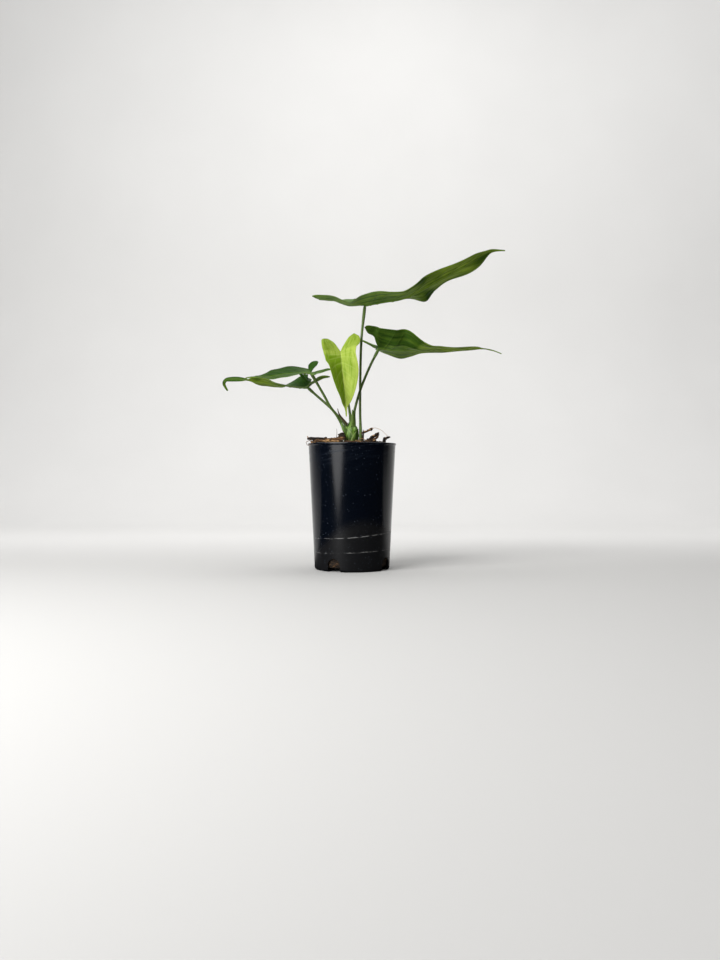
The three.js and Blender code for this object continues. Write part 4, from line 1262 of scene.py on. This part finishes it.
def bark_finish(name, dark, brown, tan):
    finish = Finish(name, ior=1.4)
    place = finish.place()
    tone_mark = finish.mark("tone")
    grain = finish.noise(finish.stretched(place, (0.22, 1.0, 1.0)), 1300.0, detail=5.0, roughness=0.65)
    lumps = finish.noise(place, 420.0, detail=5.0, roughness=0.6)
    tone = finish.blend(tone_mark.ramp(0.15, 0.75), dark, brown)
    tone = finish.blend(tone_mark.ramp(0.72, 1.0), tone, tan)
    tone = finish.blend(grain.ramp(0.5, 0.68) * (0.12 + tone_mark * 0.7), tone, tan)
    tone = finish.blend(grain.ramp(0.5, 0.36) * 0.85, tone, dark)
    tone = finish.blend(lumps.ramp(0.52, 0.66) * 0.75, tone, dark)
    finish.paint(
        base_color=tone,
        roughness=0.72 + grain * 0.22,
        normal=finish.bump(grain * 0.5 + lumps * 0.5, 0.0012, 1.0),
    )
    return finish.material


bark = bark_finish("potting_mix", srgb(22, 14, 8), srgb(84, 54, 30), srgb(184, 142, 92))
points, faces = bed()
tones = {"tone": np.full(len(points), BED_TONE)}
as_piece("mix_bed", points, faces, bark, ["potting_mix"], tones)

# %% Chips of bark
CHIP_SIDES = 9
CHIP_LAYERS = [(-1.0, 0.62), (-0.72, 0.9), (-0.1, 1.0), (0.45, 0.96), (0.8, 0.8), (1.0, 0.5)]
CORNER_SHIFT = 0.32
CORNER_JITTER = 0.13
FACE_UNEVEN = 0.4
BARK_CORNER = 42


def turned_by(points, turn, tilt, roll=0.0):
    """Points tilted about Y, rolled about X, then turned about Z, all in degrees."""
    t, r, z = (math.radians(a) for a in (tilt, roll, turn))
    about_y = np.array([[math.cos(t), 0, math.sin(t)], [0, 1, 0], [-math.sin(t), 0, math.cos(t)]])
    about_x = np.array([[1, 0, 0], [0, math.cos(r), -math.sin(r)], [0, math.sin(r), math.cos(r)]])
    about_z = np.array([[math.cos(z), -math.sin(z), 0], [math.sin(z), math.cos(z), 0], [0, 0, 1]])
    return points @ (about_z @ about_x @ about_y).T


def chip(random, at, size, turn, tilt, roll=0.0):
    """Points and faces of one angular piece of bark."""
    corners = np.arange(CHIP_SIDES) + random.uniform(-CORNER_SHIFT, CORNER_SHIFT, CHIP_SIDES)
    turns = corners * 2 * np.pi / CHIP_SIDES
    squared = 1 / np.maximum(abs(np.cos(turns)), abs(np.sin(turns)))
    outline = np.stack([np.cos(turns), np.sin(turns)], axis=-1) * (squared**0.8)[:, None]
    outline *= random.uniform(0.8, 1.02, (CHIP_SIDES, 1))
    rings = []
    for height, wide in CHIP_LAYERS:
        jitter = random.uniform(-CORNER_JITTER, CORNER_JITTER, (CHIP_SIDES, 2))
        layer = np.zeros((CHIP_SIDES, 3))
        layer[:, :2] = outline * wide + jitter
        layer[:, 2] = height * (1 + FACE_UNEVEN * random.uniform(-1, 1, CHIP_SIDES))
        rings.append(layer * np.array(size) / 2)
    points, faces = tube_mesh(np.array(rings))
    return turned_by(points, turn, tilt, roll) + np.array(at), faces


def joined(parts):
    """Several (points, faces, tone) as one mesh."""
    points, faces, tones, first = [], [], [], 0
    for part_points, part_faces, tone in parts:
        points.append(part_points)
        faces += [tuple(first + i for i in face) for face in part_faces]
        tones.append(np.full(len(part_points), tone))
        first += len(part_points)
    return np.concatenate(points), faces, {"tone": np.concatenate(tones)}

# %% [markdown]
# The pieces that the photograph shows clearly are placed one by one: a dark strip that lies on the rim at
# the left, a tan strip beside it, a chunk that leans on the stem, and the sticks at the right. Each has a
# few crumbs of bark on top. The rest are scattered, mostly small with a few long ones. The random numbers
# have a seed, so each run gives the same bark.

# %% Named and scattered bark
NAMED_BARK = [
    # centre, size, turn, tilt, tone from dark to tan
    ((-33.9, -10, 125.0), (19.5, 5.6, 2.7), 3, 1, 0.05),
    ((-31, -12.6, 123.2), (13, 4.0, 2.2), -8, 3, 0.5),
    ((-30, -8, 120.6), (12, 9, 9), 20, 0, 0.2),
    ((-17, -12, 124.5), (21, 5.6, 2.6), -6, -3, 0.62),
    ((-20, -14.5, 122.6), (17, 5, 2.6), 4, 2, 0.98),
    ((-14, -9, 120.4), (11, 9, 8), 10, 0, 0.4),
    ((-9.4, -8.6, 127.6), (6.5, 4.6, 5.8), -20, -34, 0.14),
    ((-12.4, -9.8, 125.4), (7, 4, 3), 10, -24, 0.3),
    ((10.4, -5.6, 125.2), (1.9, 1.9, 14), 10, 4, 0.2),
    ((14.4, -5.6, 132.4), (10.5, 1.7, 1.5), -4, -21, 0.35),
    ((18.6, -5.5, 134.0), (2.8, 2.2, 2.0), 20, -30, 0.05),
    ((19.4, -8, 126.4), (13.5, 3.4, 2.3), 8, -36, 0.16),
    ((21.6, -8.8, 124.8), (9.6, 3.4, 1.9), -12, -33, 0.6),
    ((24.2, -7.2, 129.2), (4.2, 2.4, 2.2), 0, -30, 0.05),
    ((19, -7, 120.2), (11, 9, 8), 30, 0, 0.2),
    ((33.4, -4, 126.0), (7.4, 1.7, 1.5), 8, -17, 0.12),
    ((30.6, -4, 121), (4, 4, 9.5), 0, 6, 0.1),
    ((8, 12, 121.5), (14, 7, 5), 60, 8, 0.4),
    ((-22, 12, 121), (16, 6, 5), -50, -8, 0.7),
    ((26, 14, 120.5), (12, 7, 5), 30, 6, 0.3),
    ((-4, -24, 120.5), (12, 8, 4.6), 20, 3, 0.5),
    ((7.5, -12.5, 121.4), (8, 4.4, 2.6), 40, 10, 0.95),
    ((12.5, -14, 121.8), (9, 3.2, 2.4), -24, -12, 0.25),
    ((1, -13, 121.2), (9, 5, 3), -12, 4, 0.7),
    ((-36.5, -15.5, 120.8), (5.2, 3.6, 2.2), 60, 20, 0.85),
]
SCATTERED_BARK = 430
CRUMBS_A_PIECE = 8
CRUMB_HEIGHT = 0.42  # as a share of the piece's own thickness, from its middle
SHORTEST_CHIP = 2.4
LONGEST_CHIP = 9.6
CHIP_TO_WALL = 1.2
CHIP_LEVEL = 118
random = np.random.default_rng(41)
parts = [(*chip(random, at, size, turn, tilt), tone) for at, size, turn, tilt, tone in NAMED_BARK]
for at, size, turn, tilt, tone in NAMED_BARK:
    for _ in range(CRUMBS_A_PIECE):
        spot = np.array([random.uniform(-0.5, 0.5), random.uniform(-0.5, 0.4), CRUMB_HEIGHT]) * size
        centre = turned_by(np.array([spot]), turn, tilt)[0] + at
        crumb = (random.uniform(1.2, 3.4), random.uniform(0.8, 1.6), random.uniform(0.6, 1.3))
        made = chip(random, centre, crumb, random.uniform(0, 360), *random.normal(0, 30, 2))
        parts.append((*made, random.uniform(0, 1) ** 1.5))
for _ in range(SCATTERED_BARK):
    long = SHORTEST_CHIP + (LONGEST_CHIP - SHORTEST_CHIP) * random.uniform(0, 1) ** 1.8
    size = (long, long * random.uniform(0.3, 0.75), random.uniform(1.2, 3.4))
    reach = pot_radius(CHIP_LEVEL) - POT_WALL - CHIP_TO_WALL - long / 2
    radius = reach * math.sqrt(random.uniform(0.04, 1))
    turn = random.uniform(0, 2 * math.pi)
    x, y = radius * math.cos(turn), radius * math.sin(turn)
    lift = random.uniform(-0.4, 1.1)
    tilt, roll = random.normal(0, 13, 2)
    made = chip(random, (x, y, mix_level(x, y) + lift), size, random.uniform(0, 360), tilt, roll)
    parts.append((*made, random.uniform(0, 1) ** 1.3))
points, faces, marks = joined(parts)
as_piece("bark_chips", points, faces, bark, marks=marks, sharp=BARK_CORNER)

# %% [markdown]
# ## Fibres and root ends
# Fine roots and coir strands lie over the bark, and one springs in a low arc from the stick at the right to
# the rim. In the drainage mouths a tangle of roots and bark shows.

# %% Strands
STRAND_SIDES = 7
STRAND_RINGS = 26


def strand(path, thick, thin):
    """A fine root or fibre along a path, from one radius to another."""

    def radius(share):
        return thick + (thin - thick) * share

    return tube_mesh(rings_along(Spine(path), radius, STRAND_SIDES, np.linspace(0, 1, STRAND_RINGS)))


STRANDS = [
    # path, radius at the start and at the end, tone
    ([(17.5, -6.5, 134.4), (22, -7.4, 135.6), (28, -7.6, 133.4), (34.6, -6, 127.4)], 0.22, 0.14, 1.0),
    ([(-38, -14, 124), (-43.4, -15, 121.6), (-41.6, -15.6, 118.6), (-38.6, -16, 120.4)], 0.3, 0.2, 0.8),
    ([(-15.2, -7.5, 124), (-14.4, -8, 131.5), (-14.8, -8.4, 134.8)], 0.3, 0.15, 0.7),
    ([(4, -12, 122), (9, -13, 125.2), (14, -12.6, 123.4), (18, -12, 121)], 0.4, 0.25, 0.85),
]
LOOSE_STRANDS = 22
parts = [(*strand(path, thick, thin), tone) for path, thick, thin, tone in STRANDS]
for _ in range(LOOSE_STRANDS):
    turn = random.uniform(0, 2 * math.pi)
    radius = random.uniform(14, 31)
    heading = random.uniform(0, 2 * math.pi)
    long = random.uniform(5, 16)
    path = []
    for step in range(4):
        heading += random.uniform(-0.6, 0.6)
        x = radius * math.cos(turn) + long * step / 3 * math.cos(heading) * 0.6
        y = radius * math.sin(turn) + long * step / 3 * math.sin(heading) * 0.6
        path.append((x, y, mix_level(x, y) + random.uniform(0.6, 1.8)))
    parts.append((*strand(path, 0.32, 0.16), random.uniform(0.3, 1)))
points, faces, marks = joined(parts)
as_piece("strands", points, faces, bark, marks=marks)

# %% What shows in the drainage mouths
DRAIN_COUNT = 4
DRAIN_WIDTH = 13
DRAIN_HEIGHT = 12.5
DRAIN_FLOOR_REACH = 9
FIRST_DRAIN_ANGLE = -118
CHIPS_A_MOUTH = 9
STRANDS_A_MOUTH = 9
# Each zone says how far out from the pot's middle, how far across the mouth and how high.
CHIP_ZONE = [(28.5, 31.6), (-5.4, 5.4), (3.6, 11)]
STRAND_STARTS = [(32.6, 34.2), (-6, 6), (3.4, 11.5)]
STRAND_ENDS = [(32.8, 34.4), (-6, 6), (3.4, 11.5)]
MOUTH_CHIP_SIZE = [(2.5, 5.5), (2.4, 5), (1.2, 2.4)]
MOUTH_CHIP_TILT = 40
parts = []
for k in range(DRAIN_COUNT):
    way = FIRST_DRAIN_ANGLE + 360 / DRAIN_COUNT * k
    for _ in range(CHIPS_A_MOUTH):
        spot = [random.uniform(*span) for span in CHIP_ZONE]
        size = [random.uniform(*span) for span in MOUTH_CHIP_SIZE]
        centre = turned_by(np.array([spot]), way, 0)[0]
        turn = random.uniform(0, 360)
        tilt = random.normal(0, MOUTH_CHIP_TILT)
        roll = random.normal(0, MOUTH_CHIP_TILT)
        made = chip(random, centre, size, turn, tilt, roll)
        parts.append((*made, random.uniform(0, 0.2)))
    for _ in range(STRANDS_A_MOUTH):
        a = np.array([random.uniform(*span) for span in STRAND_STARTS])
        b = np.array([random.uniform(*span) for span in STRAND_ENDS])
        bow = (a + b) / 2 + (random.uniform(0.2, 0.9), 0, random.uniform(-1.5, 1.5))
        path = turned_by(np.array([a, bow, b]), way, 0)
        parts.append((*strand(path, 0.26, 0.18), random.uniform(0.5, 0.9)))
points, faces, marks = joined(parts)
as_piece("mouth_tangle", points, faces, bark, marks=marks, sharp=BARK_CORNER)

# %% The roots inside the mix
root_finish = Finish("root", ior=1.4)
place = root_finish.place()
bands = root_finish.noise(place, 700.0, detail=4.0)
tone = root_finish.blend(bands.ramp(0.35, 0.65), srgb(120, 92, 58), srgb(176, 150, 108))
root_finish.paint(base_color=tone, roughness=0.7 + bands * 0.2, normal=root_finish.bump(bands, 0.0003, 0.8))
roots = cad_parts["roots"]
roots.data.materials.clear()
roots.data.materials.append(root_finish.material)
print("the CAD roots keep their shape, inside the bed")

# %% [markdown]
# ## The nursery pot
# The pot is thin injection-moulded plastic with a small lip, a raised ring under its floor and four arched
# mouths cut through the corner of its foot. A turned profile gives everything but the mouths. The Boolean
# modifier cuts those, with an arch for each, because they cross the wall, the corner and the floor at once.

# %% Turn the pot
FOOT_ROUNDING = 2.2
FLOOR_RAISE = 1.8
FLOOR_RAISED_FROM = 13
FLOOR_RAISED_TO = 29
POT_SIDES = 256
WALL_RINGS = 30
INSIDE_RINGS = 12
BELOW_FLOOR = 5.0
PAST_WALL = 6
ARCH_STEPS = 25
POT_CORNER = 35


def inside_radius(z):
    return pot_radius(z) - POT_WALL


def pot_profile():
    """(radius, height) from the middle of the underside, out, up over the lip and down the inside."""
    profile = [
        (0.01, 0), (FLOOR_RAISED_FROM - 1, 0), (FLOOR_RAISED_FROM - 0.2, FLOOR_RAISE),
        (FLOOR_RAISED_TO, FLOOR_RAISE), (FLOOR_RAISED_TO + 1, 0),
    ]
    for turn in np.linspace(0, 90, 7):
        a = math.radians(turn)
        r = FOOT_RADIUS - FOOT_ROUNDING * (1 - math.sin(a)) + 0.12 * math.sin(a)
        profile.append((r, FOOT_ROUNDING * (1 - math.cos(a))))
    lip = POT_HEIGHT - LIP_HEIGHT
    profile += [(pot_radius(z), z) for z in np.linspace(FOOT_ROUNDING + 2, lip - 0.2, WALL_RINGS)]
    profile += [(RIM_RADIUS - 0.12, lip + 0.28), (RIM_RADIUS, lip + 0.6), (RIM_RADIUS, POT_HEIGHT - 0.55)]
    profile += [(RIM_RADIUS - 0.14, POT_HEIGHT - 0.18), (RIM_RADIUS - 0.5, POT_HEIGHT)]
    bore = inside_radius(POT_HEIGHT)
    profile += [(bore + 0.3, POT_HEIGHT), (bore, POT_HEIGHT - 0.3)]
    inside = np.linspace(POT_HEIGHT - 4, FOOT_ROUNDING + POT_WALL, INSIDE_RINGS)
    profile += [(inside_radius(z), z) for z in inside]
    profile += [
        (inside_radius(0) - 2, POT_WALL + 0.3), (FLOOR_RAISED_TO + 1.5, POT_WALL),
        (FLOOR_RAISED_TO + 0.4, FLOOR_RAISE + POT_WALL), (FLOOR_RAISED_FROM - 0.4, FLOOR_RAISE + POT_WALL),
        (FLOOR_RAISED_FROM - 1.5, POT_WALL), (0.01, POT_WALL),
    ]
    return profile


def turned_mesh(profile, sides):
    turns = np.linspace(0, 2 * np.pi, sides, endpoint=False)
    rings = [[(r * math.cos(a), r * math.sin(a), z) for a in turns] for r, z in profile]
    return tube_mesh(np.array(rings))


def drain_cutter(way):
    """An arch as a closed block that reaches from under the floor out through the wall."""
    half = DRAIN_WIDTH / 2
    springs = DRAIN_HEIGHT - half
    arch = [(-half, -BELOW_FLOOR), (half, -BELOW_FLOOR)]
    turns = np.linspace(0, math.pi, ARCH_STEPS)
    arch += [(half * math.cos(a), springs + half * math.sin(a)) for a in turns]
    count = len(arch)
    ends = (FOOT_RADIUS - DRAIN_FLOOR_REACH, FOOT_RADIUS + PAST_WALL)
    points = [(x, y, z) for x in ends for y, z in arch]
    faces = [tuple(range(count - 1, -1, -1)), tuple(range(count, 2 * count))]
    faces += [(i, (i + 1) % count, (i + 1) % count + count, i + count) for i in range(count)]
    mesh = bpy.data.meshes.new("cutter")
    mesh.from_pydata((turned_by(np.array(points), way, 0) * MM).tolist(), [], faces)
    cutter = bpy.data.objects.new("cutter", mesh)
    bpy.context.scene.collection.objects.link(cutter)
    return cutter


def cut(piece, cutters):
    """Cuts each cutter out of the piece, and removes the cutters."""
    for cutter in cutters:
        boolean = piece.modifiers.new("cut", "BOOLEAN")
        boolean.operation = "DIFFERENCE"
        boolean.solver = "EXACT"
        boolean.object = cutter
    ready = piece.evaluated_get(bpy.context.evaluated_depsgraph_get())
    mesh = bpy.data.meshes.new_from_object(ready)
    piece.modifiers.clear()
    piece.data = mesh
    for cutter in cutters:
        bpy.data.objects.remove(cutter)
    return mesh

# %% [markdown]
# ## The pot's plastic
# The plastic is nearly black with a blue cast, and glossy where it is clean. Its foot is rougher and
# scuffed, and painted greyer as a painted reflection of the surface it stands on, highest in the middle of
# the front, with two thin pale rings where stacked pots rubbed it. Dust lies on it in specks, and faint
# slanting smears show just under the rim. The rings and the grey painted reflection are found by height in
# the shader, and the rings break up with noise.

# %% The plastic's nodes
LOWER_RING = 0.0185
UPPER_RING = 0.0325
RING_FADES = (0.0006, 0.0001)
# The foot's zone: rougher plastic, and the grey of a painted reflection.
DULL_FOOT_AND_REFLECTION_CENTRE = 0.012
DULL_FOOT_AND_REFLECTION_ARCH = 14
DULL_FOOT_AND_REFLECTION_ZONE = (0.054, 0.040)
SMEAR_ZONE = (0.09, 0.116)
SMEAR_TURN = (0.0, 0.16, 0.0)

plastic = Finish("gloss_plastic", ior=1.5, specular_ior_level=0.31)
place = plastic.place()
x, y, z = place.parts()
cloud = plastic.noise(place, 38.0, detail=3.0)
broken = plastic.noise(plastic.stretched(place, (1.0, 1.0, 4.0)), 180.0, detail=4.0)
scratch = plastic.noise(plastic.stretched(place, (0.35, 0.35, 6.0)), 330.0, detail=5.0, roughness=0.65)
dusty = plastic.noise(place, 60.0, detail=2.0).ramp(0.42, 0.6)
specks = plastic.cells(place, 340.0).ramp(0.2, 0.08) * dusty
off = x - DULL_FOOT_AND_REFLECTION_CENTRE
low = (z + off * off * DULL_FOOT_AND_REFLECTION_ARCH).ramp(*DULL_FOOT_AND_REFLECTION_ZONE)
slanted = plastic.stretched(plastic.turned(place, SMEAR_TURN), (0.3, 0.3, 3.0))
smear = plastic.noise(slanted, 110.0, detail=6.0, roughness=0.75).ramp(0.5, 0.72) * z.ramp(*SMEAR_ZONE)
upper_ring = abs(z - UPPER_RING - x * 0.075 - abs(x) * 0.02).ramp(*RING_FADES) * broken.ramp(0.44, 0.64)
lower_ring = abs(z - LOWER_RING - x * 0.04).ramp(*RING_FADES) * broken.ramp(0.46, 0.66)
rings = upper_ring.larger(lower_ring)
scuffs = scratch.ramp(0.6, 0.78) * (0.18 + low * 0.6)
tone = plastic.blend(cloud, srgb(2, 5, 12), srgb(5, 9, 18))
# Painted reflection: the foot is painted grey, highest in the middle of the front.
tone = plastic.blend(low * 0.85, tone, srgb(20, 20, 21))
tone = plastic.blend(scuffs * 0.5, tone, srgb(74, 76, 80))
tone = plastic.blend(smear * 0.2, tone, srgb(62, 74, 92))
tone = plastic.blend(specks * 0.22, tone, srgb(108, 118, 132))
tone = plastic.blend(rings * 0.5, tone, srgb(150, 150, 148))
plastic.paint(
    base_color=tone,
    roughness=0.13 + cloud * 0.06 + low * 0.16 + scuffs * 0.3 + rings * 0.3 + smear * 0.22,
    normal=plastic.bump(scratch * 0.5 + cloud * 0.5, 0.00012, 0.25),
)
points, faces = turned_mesh(pot_profile(), POT_SIDES)
pot = as_piece("nursery_pot", points, faces, plastic.material, ["pot"])
cutters = [drain_cutter(FIRST_DRAIN_ANGLE + 360 / DRAIN_COUNT * k) for k in range(DRAIN_COUNT)]
mesh = cut(pot, cutters)
mesh.shade_smooth()
mesh.set_sharp_from_angle(angle=math.radians(POT_CORNER))
print("pot after cutting:", len(mesh.polygons), "faces")

# %% [markdown]
# ## The size
# The dressed plant's box is set beside the CAD part's box, and the difference is printed in millimetres.

final_box = [list(corner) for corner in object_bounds()]
grown = [[round((v - c) / MM, 2) for v, c in zip(a, b)] for a, b in zip(final_box, cad_box)]
print("the visual box differs from the CAD box by, in mm:", grown)
